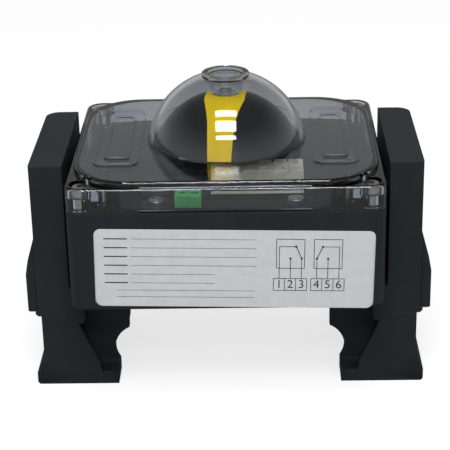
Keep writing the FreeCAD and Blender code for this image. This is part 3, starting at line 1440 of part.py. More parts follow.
def saddle_screws():
    """Screws from below through the saddles into the housing's floor."""
    body = new_body("saddle_screws", several=True)
    x = S.SaddleScrewSpan / 2
    y = S.SaddleScrewPitch / 2
    seat = S.BoxLift - S.SaddleThickness
    pad(body, circle(flat(body, seat), x, y, S.ScrewHead), S.SaddleHeadHeight,
        backwards=True)
    pad(body, circle(flat(body, seat), x, y, S.ScrewShank),
        S.SaddleThickness + S.SaddleScrewReach)
    socket = hexagon(flat(body, seat - S.SaddleHeadHeight), x, y, S.SocketKey)
    pocket(body, socket, S.SaddleSocketDepth, along_normal=True)
    mirror(body, "YZ_Plane")
    mirror(body, "XZ_Plane")
    return body


# ---------------------------------------------------------------- build, check and write

base_housing()
cover_seal()
screw_inserts()
clear_cover()
cover_screws()
shaft_bush()
thrust_washer()
drive_shaft()
shaft_o_rings()
retaining_ring()
cam_sleeve()
cam("bottom_cam", lower_level, rising=True)
cam("top_cam", upper_level, rising=False)
cam_spring()
cam_retainer()
switch_bracket()
bracket_screws()
micro_switch("bottom_switch", lower_level)
micro_switch("top_switch", upper_level)
switch_spacer()
switch_screws()
switch_terminals()
lever_pins()
lever("bottom_lever", lower_level, pressed=True)
lever("top_lever", upper_level, pressed=False)
plunger("bottom_plunger", lower_level, pressed=True)
plunger("top_plunger", upper_level, pressed=False)
terminal_stand()
stand_screws()
terminal_strip()
terminal_screws()
earth_terminal()
earth_screws()
indicator()
indicator_screw()
for name, sign in (("left", -1), ("right", 1)):
    bracket_arm(f"bracket_arm_{name}", sign)
    bracket_foot(f"bracket_foot_{name}", sign)
arm_screws()
saddle_screws()

doc.recompute()

for item in doc.Objects:
    if "Invalid" in item.State or "Error" in item.State:
        raise RuntimeError(f"{item.Name} ({item.Label}) failed: {item.State}")
for piece in pieces:
    if piece.Shape.isNull() or not piece.Shape.isValid() or not piece.Shape.Solids:
        raise RuntimeError(f"{piece.Label} has no valid solid")

os.makedirs("parts", exist_ok=True)
for piece in pieces:
    piece.Shape.exportStep(os.path.join("parts", f"{piece.Label}.step"))
    print(f"{piece.Label}: {len(piece.Shape.Solids)} solid(s), {piece.Shape.Volume:.1f} mm3")
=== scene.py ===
# %% [markdown]
# # A valve limit switch box
#
# The box sits on a valve actuator and tells the control room whether the valve is open. Its
# metal and moulded parts are already in the frame, each in its own node and at its real size.
# This script gives every one of them a finish, opens the feet between their webs, stops the
# cable entries, adds the printed label and sets up a small studio. Read it from the top: each
# cell first says what it makes and why that way. Lengths are in metres, as Blender wants them.

# %% Load the frame
import json
import math

import bmesh
import bpy
import numpy as np
from mathutils import Matrix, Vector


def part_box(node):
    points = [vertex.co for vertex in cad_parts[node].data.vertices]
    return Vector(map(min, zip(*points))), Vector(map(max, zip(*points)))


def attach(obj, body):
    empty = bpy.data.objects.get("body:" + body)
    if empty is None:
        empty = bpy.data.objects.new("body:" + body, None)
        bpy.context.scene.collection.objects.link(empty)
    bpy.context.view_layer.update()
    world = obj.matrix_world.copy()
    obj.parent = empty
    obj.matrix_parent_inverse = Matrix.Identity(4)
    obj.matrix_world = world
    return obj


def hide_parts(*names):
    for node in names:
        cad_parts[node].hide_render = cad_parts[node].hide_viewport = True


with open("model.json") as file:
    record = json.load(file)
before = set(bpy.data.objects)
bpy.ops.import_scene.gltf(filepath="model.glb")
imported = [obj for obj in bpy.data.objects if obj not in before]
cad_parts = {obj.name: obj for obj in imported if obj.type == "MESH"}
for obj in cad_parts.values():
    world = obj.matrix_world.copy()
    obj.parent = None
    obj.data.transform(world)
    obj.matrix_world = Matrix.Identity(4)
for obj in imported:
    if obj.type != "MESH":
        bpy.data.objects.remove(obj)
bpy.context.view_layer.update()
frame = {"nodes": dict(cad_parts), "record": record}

MM = 0.001


# %% [markdown]
# ## Measures
#
# The cover's node gives the width and depth of the box, to which the label and the plugs
# fit. Typing those sizes in would work as well, but then they would be wrong as soon as the
# box changes. Only the radius of its upright corners is typed: no node's box tells it.

# %% Measures from the frame
_, cover_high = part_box("clear_cover")
HALF_WIDTH = cover_high.x
HALF_DEPTH = cover_high.y
CORNER_RADIUS = 7 * MM
print("half width and half depth of the box:", HALF_WIDTH, HALF_DEPTH)

# %% [markdown]
# ## Helpers for finishes
#
# A finish is a small tree of nodes. Colours are written the way a paint card or a web page
# gives them, as sRGB hex values, and one function turns them to the linear values that the
# renderer works with. One more function adds a node, sets it up and wires it in one line.
# Nodes could also be made by hand in the editor, but a script makes them the same each time.

# %% Colour and node helpers
NOISE_LOW = 0.3
NOISE_HIGH = 0.7


def paint(code):
    """sRGB hex code to linear RGBA: each channel is undone by the sRGB curve."""
    srgb = np.array([int(code[i:i + 2], 16) for i in (1, 3, 5)]) / 255
    linear = np.where(srgb <= 0.04045, srgb / 12.92, ((srgb + 0.055) / 1.055) ** 2.4)
    return (*linear.tolist(), 1.0)


def add(tree, kind, settings=None, **feeds):
    """Adds a node. Settings go to its sockets or attributes, feeds are links into it."""
    item = tree.nodes.new(kind)
    for name, value in (settings or {}).items():
        if name in item.inputs:
            item.inputs[name].default_value = value
        else:
            setattr(item, name, value)
    for name, source in feeds.items():
        tree.links.new(source, item.inputs[name.replace("_", " ")])
    return item


def new_finish(name):
    """An empty material, its tree, its output node and its object coordinates."""
    material = bpy.data.materials.new(name)
    material.use_nodes = True
    tree = material.node_tree
    tree.nodes.clear()
    output = tree.nodes.new("ShaderNodeOutputMaterial")
    place = tree.nodes.new("ShaderNodeTexCoord").outputs["Object"]
    return material, tree, output, place


def speckle(tree, place, size, detail=2.0):
    """Soft noise whose blotches are about as wide as size, in metres."""
    settings = {"Scale": 1 / size, "Detail": detail, "Roughness": 0.55}
    return add(tree, "ShaderNodeTexNoise", settings, Vector=place).outputs["Fac"]


def two_tone(tree, factor, dark, light):
    """Blends two close colours over the range in which a noise mostly stays."""
    ramp = add(tree, "ShaderNodeValToRGB", Fac=factor)
    ends = ((NOISE_LOW, dark), (NOISE_HIGH, light))
    for element, (position, code) in zip(ramp.color_ramp.elements, ends):
        element.position = position
        element.color = paint(code)
    return ramp.outputs["Color"]


def spread(tree, factor, low, high):
    """Maps a noise to a range of values, such as a roughness that varies a little."""
    settings = {"From Min": NOISE_LOW, "From Max": NOISE_HIGH, "To Min": low, "To Max": high}
    return add(tree, "ShaderNodeMapRange", settings, Value=factor).outputs["Result"]


def bsdf_out(tree, shader, output):
    """Wires a shader to the surface of a material."""
    tree.links.new(shader.outputs["BSDF"], output.inputs["Surface"])


print("the grey #808080 as linear light:", round(paint("#808080")[0], 3))

# %% [markdown]
# ## Moulded polyamide
#
# Housing and bracket are polyamide with short glass fibre, injected into a steel mould whose
# walls were spark-eroded. That leaves a fine leathery grain and a matt, slightly grey black.
# The real grain is about 0.1 mm wide, too fine to show from here, so it is drawn at 0.5 mm.
# Moulded edges are never knife sharp: a Bevel node bends the light as a small round would.
# An image texture could give the grain as well, but noise has no seam and needs no file.

# %% Moulded polyamide finish
GRAIN = 0.5 * MM
GRAIN_DEPTH = 0.02 * MM
FLOW = 18 * MM
# the grain traps light, so the skin throws back less than a smooth one would
POLYAMIDE_GLOSS = 0.16
GRAIN_SPREAD = 0.06


def moulded_polyamide(name, dark, light, roughness, edge):
    """Matt black moulding: eroded grain, faint flow clouds, softly rounded edges."""
    material, tree, output, place = new_finish(name)
    clouds = speckle(tree, place, FLOW)
    grain = speckle(tree, place, GRAIN, detail=4.0)
    rounded = add(tree, "ShaderNodeBevel", {"Radius": edge, "samples": 6}).outputs["Normal"]
    bump = add(tree, "ShaderNodeBump", {"Strength": 0.6, "Distance": GRAIN_DEPTH},
               Height=grain, Normal=rounded)
    settings = {"IOR": 1.53, "Specular IOR Level": POLYAMIDE_GLOSS}
    shader = add(tree, "ShaderNodeBsdfPrincipled", settings,
                 Base_Color=two_tone(tree, clouds, dark, light),
                 Roughness=spread(tree, grain, roughness - GRAIN_SPREAD, roughness + GRAIN_SPREAD),
                 Normal=bump.outputs["Normal"])
    bsdf_out(tree, shader, output)
    return material


housing_black = moulded_polyamide("moulded_polyamide_housing", "#1D2124", "#202528",
                                  roughness=0.50, edge=0.4 * MM)
bracket_black = moulded_polyamide("moulded_polyamide_bracket", "#1D2225", "#21262A",
                                  roughness=0.52, edge=0.7 * MM)
stand_black = moulded_polyamide("moulded_polyamide_stand", "#1A1C1F", "#1F2124",
                                roughness=0.45, edge=0.2 * MM)
print("polyamide finishes:", housing_black.name, bracket_black.name, stand_black.name)

# %% [markdown]
# ## Clear polycarbonate
#
# The cover is one thick clear moulding, polished in the mould. Light bends in it (index of
# refraction 1.586), and its walls, ribs and screw columns show as bright and dark lines, which
# come from the real wall thickness in the mesh. The plastic is a little smoky. Its surface
# could be tinted for that, but then a thin top and a thick column would be equally dark. So
# the smoke is a volume that takes light away along the path through the plastic. The broad,
# very shallow waves are what a mould's polish leaves.

# %% Clear polycarbonate finish
POLISH_WAVE = 14 * MM
POLISH_DEPTH = 0.02 * MM
SMOKE_DENSITY = 60.0


def clear_polycarbonate(name):
    """Polished transparent moulding with a trace of smoke in it."""
    material, tree, output, place = new_finish(name)
    waves = speckle(tree, place, POLISH_WAVE, detail=1.0)
    bump = add(tree, "ShaderNodeBump", {"Strength": 0.25, "Distance": POLISH_DEPTH}, Height=waves)
    settings = {"Base Color": paint("#F8FAFC"), "Roughness": 0.015, "IOR": 1.586,
                "Transmission Weight": 1.0}
    shader = add(tree, "ShaderNodeBsdfPrincipled", settings, Normal=bump.outputs["Normal"])
    bsdf_out(tree, shader, output)
    smoke = add(tree, "ShaderNodeVolumeAbsorption",
                {"Color": paint("#B2C2D6"), "Density": SMOKE_DENSITY})
    tree.links.new(smoke.outputs["Volume"], output.inputs["Volume"])
    return material


cover_clear = clear_polycarbonate("polished_polycarbonate")
print("clear finish:", cover_clear.name)

# %% [markdown]
# ## Coloured thermoplastics
#
# Cams, plungers and washers are acetal, the terminal strip and the earth terminal are
# polyamide in their own colours, the switches' cases are polyester, and the indicator is black
# acrylic with a yellow inlay. All are dyed through and satin. A little light goes under the
# surface, which softens pale plastics. Each could have a material of its own from scratch, but
# one function makes them all, because only colour, polish and that inner glow differ.

# %% Satin thermoplastic finish
DYE_CLOUD = 4 * MM
MOULD_EDGE = 0.15 * MM
GLOW_DEPTH = 0.6 * MM
SATIN_SPREAD = 0.04


def satin_plastic(name, dark, light, roughness, glow=0.0, gloss=0.35):
    """Smooth moulded plastic: faint colour clouds and, for pale ones, light under the skin."""
    material, tree, output, place = new_finish(name)
    clouds = speckle(tree, place, DYE_CLOUD)
    rounded = add(tree, "ShaderNodeBevel", {"Radius": MOULD_EDGE, "samples": 4}).outputs["Normal"]
    settings = {"IOR": 1.48, "Specular IOR Level": gloss, "Subsurface Weight": glow,
                "Subsurface Radius": (1.0, 0.8, 0.5), "Subsurface Scale": GLOW_DEPTH}
    shader = add(tree, "ShaderNodeBsdfPrincipled", settings,
                 Base_Color=two_tone(tree, clouds, dark, light),
                 Roughness=spread(tree, clouds, roughness - SATIN_SPREAD, roughness + SATIN_SPREAD),
                 Normal=rounded)
    bsdf_out(tree, shader, output)
    return material


acetal_white = satin_plastic("acetal_white", "#DEDDD6", "#E9E8E2", roughness=0.38, glow=0.3)
acetal_red = satin_plastic("acetal_red", "#B0231C", "#C02A22", roughness=0.38, glow=0.1)
acetal_green = satin_plastic("acetal_green", "#1F7A3C", "#278A47", roughness=0.38, glow=0.1)
strip_beige = satin_plastic("polyamide_beige", "#DDD7C2", "#E6E0CC", roughness=0.42, glow=0.2)
earth_green = satin_plastic("polyamide_green", "#4BB45F", "#58C46C", roughness=0.36, glow=0.2)
switch_black = satin_plastic("polyester_switch_case", "#1C1D20", "#232427", roughness=0.46, gloss=0.2)
indicator_black = satin_plastic("acrylic_black", "#1A1D1F", "#1E2123", roughness=0.34, gloss=0.15)
indicator_yellow = satin_plastic("acrylic_yellow", "#F8D000", "#FFD806", roughness=0.34, gloss=0.15)
print("coloured plastics:", acetal_white.name, acetal_red.name, acetal_green.name,
      strip_beige.name, earth_green.name, switch_black.name, indicator_black.name,
      indicator_yellow.name)

# %% [markdown]
# ## Metals and rubber
#
# The shaft and the outer screws are turned stainless steel, the small inner screws are zinc
# plated, springs and levers are bright spring steel, the inserts and the switches' blades are
# brass, and the shaft's bush is sintered bronze. A lathe leaves rings round the axis. An
# anisotropic shader smears highlights as they do, but needs a tangent on every mesh, so here
# they are noise that is stretched sideways until it runs in bands. Real marks are about
# 0.05 mm apart, too fine to show from here, so they are drawn at 0.35 mm.

# %% Turned metal finish
LATHE_MARK = 0.35 * MM
MARK_DEPTH = 0.01 * MM
MARK_STRETCH = 0.05
MARK_SHINE = 0.05
MARK_DULL = 0.07


def turned_metal(name, dark, light, roughness):
    """Metal with fine turning marks: noise stretched across X and Y, so it bands along Z."""
    material, tree, output, place = new_finish(name)
    stretch = add(tree, "ShaderNodeMapping", {"Scale": (MARK_STRETCH, MARK_STRETCH, 1.0)},
                  Vector=place)
    marks = speckle(tree, stretch.outputs["Vector"], LATHE_MARK, detail=3.0)
    bump = add(tree, "ShaderNodeBump", {"Strength": 0.4, "Distance": MARK_DEPTH}, Height=marks)
    shader = add(tree, "ShaderNodeBsdfPrincipled", {"Metallic": 1.0},
                 Base_Color=two_tone(tree, marks, dark, light),
                 Roughness=spread(tree, marks, roughness - MARK_SHINE, roughness + MARK_DULL),
                 Normal=bump.outputs["Normal"])
    bsdf_out(tree, shader, output)
    return material


stainless = turned_metal("stainless_steel", "#A9A8A4", "#BDBCB8", roughness=0.24)
zinc_plate = turned_metal("zinc_plate", "#B4B8BC", "#C6CACD", roughness=0.28)
spring_steel = turned_metal("spring_steel", "#8C8E92", "#A2A4A8", roughness=0.22)
brass = turned_metal("brass", "#B4924C", "#C7A55C", roughness=0.26)
bronze = turned_metal("sintered_bronze", "#8F6A3C", "#A37C49", roughness=0.42)
print("metal finishes:", stainless.name, zinc_plate.name, spring_steel.name, brass.name,
      bronze.name)

# %% [markdown]
# Seal and O-rings are nitrile rubber, pressed in a mould. Its powder leaves them dull, with a
# little dust in broad patches, so one noise drives both the colour and the roughness.

# %% Rubber finish
DUST = 1.5 * MM


def seal_rubber(name):
    """Nitrile rubber: dark, dull and a little dusty."""
    material, tree, output, place = new_finish(name)
    dust = speckle(tree, place, DUST)
    shader = add(tree, "ShaderNodeBsdfPrincipled", {"IOR": 1.52},
                 Base_Color=two_tone(tree, dust, "#151515", "#1E1E1E"),
                 Roughness=spread(tree, dust, low=0.62, high=0.78))
    bsdf_out(tree, shader, output)
    return material


rubber = seal_rubber("nitrile_rubber")
print("rubber finish:", rubber.name)

# %% [markdown]
# ## Helpers for meshes
#
# All that this script adds is a mesh of points and faces. numpy works the points out as whole
# arrays, which is faster than a loop over them and reads like the formula. Blender's own mesh
# primitives would do for boxes and tubes, but not for a film that follows a rounded corner.

# %% Mesh helpers
MERGE_DISTANCE = 0.001 * MM
SHARP_ANGLE = math.radians(30)


def new_object(name, data):
    """An object for a mesh, curve, lamp or camera, linked into the scene."""
    item = bpy.data.objects.new(name, data)
    bpy.context.scene.collection.objects.link(item)
    return item


def dress(mesh, finish):
    """Gives a mesh one finish in place of those that it has."""
    mesh.materials.clear()
    mesh.materials.append(finish)


def merge_points(mesh, turn_outwards=False):
    """Joins points that lie on each other and, where asked, turns all faces outwards."""
    shell = bmesh.new()
    shell.from_mesh(mesh)
    bmesh.ops.remove_doubles(shell, verts=shell.verts, dist=MERGE_DISTANCE)
    if turn_outwards:
        bmesh.ops.recalc_face_normals(shell, faces=shell.faces)
    shell.to_mesh(mesh)
    shell.free()


def grid_faces(rows, columns, first=0):
    """Quads of a grid whose points are numbered row by row."""
    start = first + np.arange(rows - 1)[:, None] * columns + np.arange(columns - 1)[None, :]
    corners = [start, start + 1, start + columns + 1, start + columns]
    return np.stack(corners, axis=-1).reshape(-1, 4)


def make_piece(name, points, faces, finish, body, smooth=True):
    """Puts points and quads into a mesh, gives it a finish and lets it ride on a body."""
    mesh = bpy.data.meshes.new(name)
    mesh.from_pydata(np.asarray(points).reshape(-1, 3).tolist(), [], np.asarray(faces).tolist())
    mesh.polygons.foreach_set("use_smooth", [smooth] * len(mesh.polygons))
    dress(mesh, finish)
    piece = new_object(name, mesh)
    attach(piece, body)
    return piece


print("quads of a grid of 3 by 4 points:", len(grid_faces(3, 4)))

# %% [markdown]
# ## Dress the frame
#
# Each node already has the right shape, so it only takes its finish. Every node could be
# dressed in a line of its own. The list below is the box's parts list instead, sorted by what
# the parts are made of, so that a forgotten part stands out. Only the two feet change their
# shape, in the step after this one.

# %% Finishes on the frame's nodes
FINISHES = {
    housing_black: ["base_housing"],
    bracket_black: ["bracket_arm_left", "bracket_arm_right", "bracket_foot_left",
                    "bracket_foot_right"],
    stand_black: ["terminal_stand"],
    cover_clear: ["clear_cover"],
    acetal_white: ["thrust_washer", "cam_sleeve", "switch_spacer"],
    acetal_red: ["bottom_cam", "bottom_plunger", "top_plunger"],
    acetal_green: ["top_cam"],
    strip_beige: ["terminal_strip"],
    earth_green: ["earth_terminal"],
    switch_black: ["bottom_switch", "top_switch"],
    indicator_black: ["indicator_dome"],
    indicator_yellow: ["indicator_stripe"],
    stainless: ["drive_shaft", "cover_screws", "arm_screws", "saddle_screws", "lever_pins"],
    zinc_plate: ["switch_bracket", "bracket_screws", "switch_screws", "stand_screws",
                 "terminal_screws", "earth_screws", "indicator_screw"],
    spring_steel: ["bottom_lever", "top_lever", "cam_spring", "cam_retainer", "retaining_ring"],
    brass: ["cover_screw_inserts", "switch_terminals"],
    bronze: ["shaft_bush"],
    rubber: ["cover_seal", "shaft_o_rings"],
}
for finish, names in FINISHES.items():
    for name in names:
        dress(frame["nodes"][name].data, finish)
print("nodes dressed:", sum(len(names) for names in FINISHES.values()))

# %% [markdown]
# ## Feet that are open between their webs
#
# Each foot's flange is moulded back between its two webs, so that light falls through the
# round scallops. The recess is a plain block taken away from a copy of the foot by a Boolean
# modifier. A drawn surface would have to repeat the whole moulding for the sake of one cut.
# The block runs past the flange inwards, upwards and downwards, and sideways it ends at the
# faces of the webs.

# %% Recess in the feet
RECESS_START = 30.0 * MM
RECESS_END = 53.0 * MM
RECESS_HALF = 20.1 * MM
RECESS_BOTTOM = -5.0 * MM
RECESS_TOP = 5.6 * MM


def block(low, high):
    """The eight corners and six outward faces of a box."""
    corners = [(x, y, z) for x in (low[0], high[0]) for y in (low[1], high[1])
               for z in (low[2], high[2])]
    faces = [(0, 1, 3, 2), (4, 6, 7, 5), (0, 4, 5, 1), (2, 3, 7, 6), (0, 2, 6, 4), (1, 5, 7, 3)]
    return corners, faces


def recessed_foot(name, side, finish):
    """Copy of a foot, its points merged, less the block between the webs."""
    mesh = frame["nodes"][name].data.copy()
    merge_points(mesh)
    foot = new_object(name + "_open", mesh)
    near, far = sorted((side * RECESS_START, side * RECESS_END))
    corners, faces = block((near, -RECESS_HALF, RECESS_BOTTOM), (far, RECESS_HALF, RECESS_TOP))
    cut_mesh = bpy.data.meshes.new("recess")
    cut_mesh.from_pydata(corners, [], faces)
    cutter = new_object("recess", cut_mesh)
    cut = foot.modifiers.new("recess", "BOOLEAN")
    cut.operation = "DIFFERENCE"
    cut.object = cutter
    bpy.context.view_layer.update()
    graph = bpy.context.evaluated_depsgraph_get()
    result = bpy.data.meshes.new_from_object(foot.evaluated_get(graph))
    foot.modifiers.clear()
    foot.data = result
    bpy.data.objects.remove(cutter)
    result.shade_smooth()
    result.set_sharp_from_angle(angle=SHARP_ANGLE)
    dress(result, finish)
    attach(foot, "housing")
    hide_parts(name)
    return len(result.polygons)


for name, side in (("bracket_foot_left", -1), ("bracket_foot_right", 1)):
    print(name, "faces after the cut:", recessed_foot(name, side, bracket_black))

# %% [markdown]
# ## Plugs in the cable entries
#
# A new box has both cable entries stopped with a threaded plug, which lies flush in the
# moulding and is turned with a hexagon key. The frame's record names the entries among the
# box's mounts, so the plugs take their places from it. A plug could be a cylinder less a
# hexagon. As a profile carried round its axis it needs no cut: the radius of the socket's rows
# also depends on the angle, which turns that circle to a hexagon.

# %% Entry plugs
PLUG_STEPS = 72
SOCKET = 5.2
# radius and depth behind the rear face, in mm, and 1 where the row is hexagonal
PLUG_PROFILE = ((0.0, 9.5, 0), (8.2, 9.5, 0), (8.7, 9.0, 0), (9.22, 1.0, 0), (8.8, 0.5, 0),
                (6.6, 0.5, 0), (6.2, 0.7, 0), (SOCKET, 0.7, 1), (SOCKET, 6.0, 1), (0.0, 6.4, 0))


def entry_plug(name, place, finish):
    """Profile rows carried round the Y axis. A hexagon's radius is its half width over the
    cosine of the angle from the middle of the nearest side."""
    x, _, z = place
    profile = np.array(PLUG_PROFILE)
    steps = PLUG_STEPS
    angle = np.linspace(0, 2 * math.pi, steps, endpoint=False)
    from_side = (angle + math.pi / 6) % (math.pi / 3) - math.pi / 6
    hexagon = math.cos(math.pi / 6) / np.cos(from_side)
    radius = profile[:, 0:1] * np.where(profile[:, 2:3] > 0, hexagon, 1.0) * MM
    depth = np.repeat(HALF_DEPTH - profile[:, 1:2] * MM, steps, axis=1)
    points = np.stack([x + radius * np.cos(angle), depth, z + radius * np.sin(angle)], axis=-1)
    rows = len(PLUG_PROFILE)
    start = np.arange(rows - 1)[:, None] * steps + np.arange(steps)[None, :]
    after = np.arange(rows - 1)[:, None] * steps + (np.arange(steps) + 1)[None, :] % steps
    faces = np.stack([start, start + steps, after + steps, after], axis=-1).reshape(-1, 4)
    plug = make_piece(name, points, faces, finish, "housing")
    merge_points(plug.data, turn_outwards=True)
    plug.data.set_sharp_from_angle(angle=SHARP_ANGLE)


for mount in frame["record"]["mounts"]:
    if mount["name"].startswith("cable_entry"):
        entry_plug(mount["name"].replace("cable_entry", "entry_plug"), mount["pos_m"],
                   stand_black)
        print("stopped:", mount["name"])

# %% [markdown]
# ## The label
#
# A grey polyester film is stuck to the front, a little crooked, and its right end bends
# round the start of the housing's corner. It could be a flat plate with a bend modifier. Here
# it is a surface of two parameters instead: one runs across and one up, and the housing's own
# outline gives the depth, so film and print always lie on the moulding.

# %% Label measures
LABEL_WIDTH = 113.95 * MM
LABEL_HEIGHT = 34.3 * MM
LABEL_RADIUS = 2.8 * MM
# to the right of the middle, and above the plane that the feet stand on
LABEL_CENTRE = (3.2 * MM, 63.6 * MM)
LABEL_TILT = math.radians(-1.26)
FILM = 0.18 * MM
INK_LIFT = 0.03 * MM


def on_front(across, up, lift):
    """Label coordinates to points in the frame: turned by the tilt, moved to the centre, and
    laid on the housing's front, which is flat and then a quarter circle at each corner."""
    x = LABEL_CENTRE[0] + across * math.cos(LABEL_TILT) - up * math.sin(LABEL_TILT)
    z = LABEL_CENTRE[1] + across * math.sin(LABEL_TILT) + up * math.cos(LABEL_TILT)
    past = np.clip(np.abs(x) - (HALF_WIDTH - CORNER_RADIUS), 0, CORNER_RADIUS)
    y = -HALF_DEPTH + CORNER_RADIUS - np.sqrt(CORNER_RADIUS ** 2 - past ** 2) - lift
    return np.stack([x, y, z], axis=-1)


print("depth of the label's middle and right end:", on_front(0.0, 0.0, FILM)[1],
      on_front(LABEL_WIDTH / 2, 0.0, FILM)[1])

# %% [markdown]
# The film is a closed shell: a front sheet, a back sheet and a rim. For a rounded rectangle
# every row of the grid is as wide as the outline at that height, which is the full width
# less what the corner's circle takes away.

# %% The film
def rounded_grid(half_x, half_y, radius, rows, columns):
    """Grid over a rounded rectangle: rows crowd towards the ends by a cosine, and each row is
    as wide as the outline there."""
    up = -half_y * np.cos(np.linspace(0, math.pi, rows))
    into_corner = np.clip(np.abs(up) - (half_y - radius), 0, radius)
    width = half_x - radius + np.sqrt(radius ** 2 - into_corner ** 2)
    across = np.linspace(-1, 1, columns)[None, :] * width[:, None]
    return across, np.repeat(up[:, None], columns, axis=1)


def label_film(finish):
    """Front and back sheets with a rim between them, whose points run round the edge."""
    rows, columns = 40, 120
    across, up = rounded_grid(LABEL_WIDTH / 2, LABEL_HEIGHT / 2, LABEL_RADIUS, rows, columns)
    front = on_front(across, up, FILM)
    back = on_front(across, up, 0.0)
    points = np.concatenate([front.reshape(-1, 3), back.reshape(-1, 3)])
    total = rows * columns
    front_faces = grid_faces(rows, columns)
    back_faces = grid_faces(rows, columns, total)[:, ::-1]
    ring = np.concatenate([
        np.arange(columns), np.arange(1, rows) * columns + columns - 1,
        (rows - 1) * columns + np.arange(columns - 2, -1, -1),
        np.arange(rows - 2, 0, -1) * columns])
    following = np.roll(ring, -1)
    rim = np.stack([ring, ring + total, following + total, following], axis=-1)
    faces = np.concatenate([front_faces, back_faces, rim])
    return make_piece("label_film", points, faces, finish, "housing")


film_grey = satin_plastic("polyester_film", "#C3C7CB", "#CACED1", roughness=0.40)
print("label film, faces:", len(label_film(film_grey).data.polygons))

# %% [markdown]
# ## The print
#
# The label is generic: ruled lines for the data that a plant writes in by hand, and the
# wiring diagram of two changeover contacts, whose terminals are numbered 1 to 6. An image
# would blur close up and needs a file, so each stroke is a thin strip that lies just off the
# film. The numbers are text turned into meshes, whose points then go through the same function
# as the film's. What is drawn on the label is given in millimetres from its centre.

# %% Strokes
INK_WIDTH = 0.28 * MM
FINE_INK = 0.16 * MM
CONTACT_INK = 0.36 * MM
HEAVY_INK = 0.5 * MM
STROKE_STEPS = 9


def stroke(start, end, width=INK_WIDTH):
    """Points of a strip from start to end: the middle line, moved half a width to each side."""
    start = np.array(start) * MM
    end = np.array(end) * MM
    along = (end - start) / np.linalg.norm(end - start)
    side = np.array([-along[1], along[0]]) * width / 2
    line = start + np.linspace(0, 1, STROKE_STEPS)[:, None] * (end - start)
    both = np.stack([line - side, line + side])
    return on_front(both[..., 0], both[..., 1], FILM + INK_LIFT)


def print_strokes(name, strokes, finish):
    """Joins many strips in one piece."""
    points = np.concatenate([strip.reshape(-1, 3) for strip in strokes])
    faces = np.concatenate([grid_faces(2, STROKE_STEPS, index * 2 * STROKE_STEPS)
                            for index in range(len(strokes))])
    return make_piece(name, points, faces, finish, "housing", smooth=False)


def box_strokes(left, right, low, high):
    """The four sides of a box."""
    corners = [(left, low), (right, low), (right, high), (left, high)]
    return [stroke(corners[i], corners[(i + 1) % 4]) for i in range(4)]


print("points of one stroke:", stroke((0.0, 0.0), (1.0, 0.0))[..., 0].size)

# %% [markdown]
# Each diagram is a row of three terminals with the switch's box above it. The common wire
# rises on one side and turns to a lever, which leans on the closed contact on the other side.
# The open contact stands between them. The second diagram is the first one seen in a mirror,
# so one function draws both.

# %% Contact diagrams
TERMINAL_PITCH = 4.53
TERMINAL_LOW = -9.4
TERMINAL_HIGH = -4.05
SWITCH_INSET = 1.1
SWITCH_LOW = 0.55
SWITCH_HIGH = 13.4
CONTACT_TOP = 10.15
CONTACT_END = 4.9
DOT = 0.85
DIAGRAMS = ((15.94, False), (31.17, True))


def contact_diagram(left, mirrored):
    """A changeover contact in its box, wired down to a row of three terminals."""
    middle = left + 1.5 * TERMINAL_PITCH
    flip = -1 if mirrored else 1
    columns = [middle - flip * TERMINAL_PITCH, middle, middle + flip * TERMINAL_PITCH]
    common, open_side, closed_side = columns
    right = left + 3 * TERMINAL_PITCH
    strokes = box_strokes(left, right, TERMINAL_LOW, TERMINAL_HIGH)
    strokes += box_strokes(left + SWITCH_INSET, right - SWITCH_INSET, SWITCH_LOW, SWITCH_HIGH)
    for divider in (left + TERMINAL_PITCH, left + 2 * TERMINAL_PITCH):
        strokes.append(stroke((divider, TERMINAL_LOW), (divider, TERMINAL_HIGH)))
    pivot = middle + flip * TERMINAL_PITCH * 0.5
    strokes.append(stroke((common, TERMINAL_HIGH), (common, CONTACT_TOP)))
    strokes.append(stroke((common, CONTACT_TOP), (pivot, CONTACT_TOP)))
    strokes.append(stroke((pivot, CONTACT_TOP), (closed_side, CONTACT_END), CONTACT_INK))
    for x, y in ((pivot, CONTACT_TOP), (closed_side, CONTACT_END), (open_side, CONTACT_END)):
        strokes.append(stroke((x, y - DOT / 2), (x, y + DOT / 2), DOT * MM))
    for x in (closed_side, open_side):
        strokes.append(stroke((x, CONTACT_END), (x, TERMINAL_HIGH)))
    return strokes


diagram_strokes = []
for left, mirrored in DIAGRAMS:
    diagram_strokes += contact_diagram(left, mirrored)
print("strokes in the diagrams:", len(diagram_strokes))

# %% [markdown]
# The ruled rows start with a short heavy stroke, where a printed heading would stand, and the
# last two of them stop early to leave room. Two fine rows without a heading close the block.

# %% Ruled lines
ROWS = 6
LONG_ROWS = 4
ROW_TOP = 13.0
ROW_PITCH = 3.9
HEADING = (-53.0, -43.5)
ROW_START = -42.0
LONG_END = 9.0
SHORT_END = -8.0
FINE_ROWS = (-9.8, -12.8)
FINE_SPAN = (-48.0, 8.0)


def ruled_lines():
    """Rows for handwritten data, each with a heavier start, and two fine ones."""
    strokes = []
    for row in range(ROWS):
        height = ROW_TOP - ROW_PITCH * row
        end = LONG_END if row < LONG_ROWS else SHORT_END
        strokes.append(stroke((HEADING[0], height), (HEADING[1], height), HEAVY_INK))
        strokes.append(stroke((ROW_START, height), (end, height), FINE_INK))
    for height in FINE_ROWS:
        strokes.append(stroke((FINE_SPAN[0], height), (FINE_SPAN[1], height), FINE_INK))
    return strokes


ink = satin_plastic("printing_ink", "#2A2C2E", "#323436", roughness=0.5)
all_strokes = ruled_lines() + diagram_strokes
print_strokes("label_print", all_strokes, ink)
print("strokes printed:", len(all_strokes))

# %% [markdown]
# Blender's text object draws the terminal numbers as flat shapes. It is made a mesh first,
# because only the points of a mesh can be laid on the film one by one.

# %% Terminal numbers
DIGIT_SIZE = 5.2 * MM
TERMINALS = 3


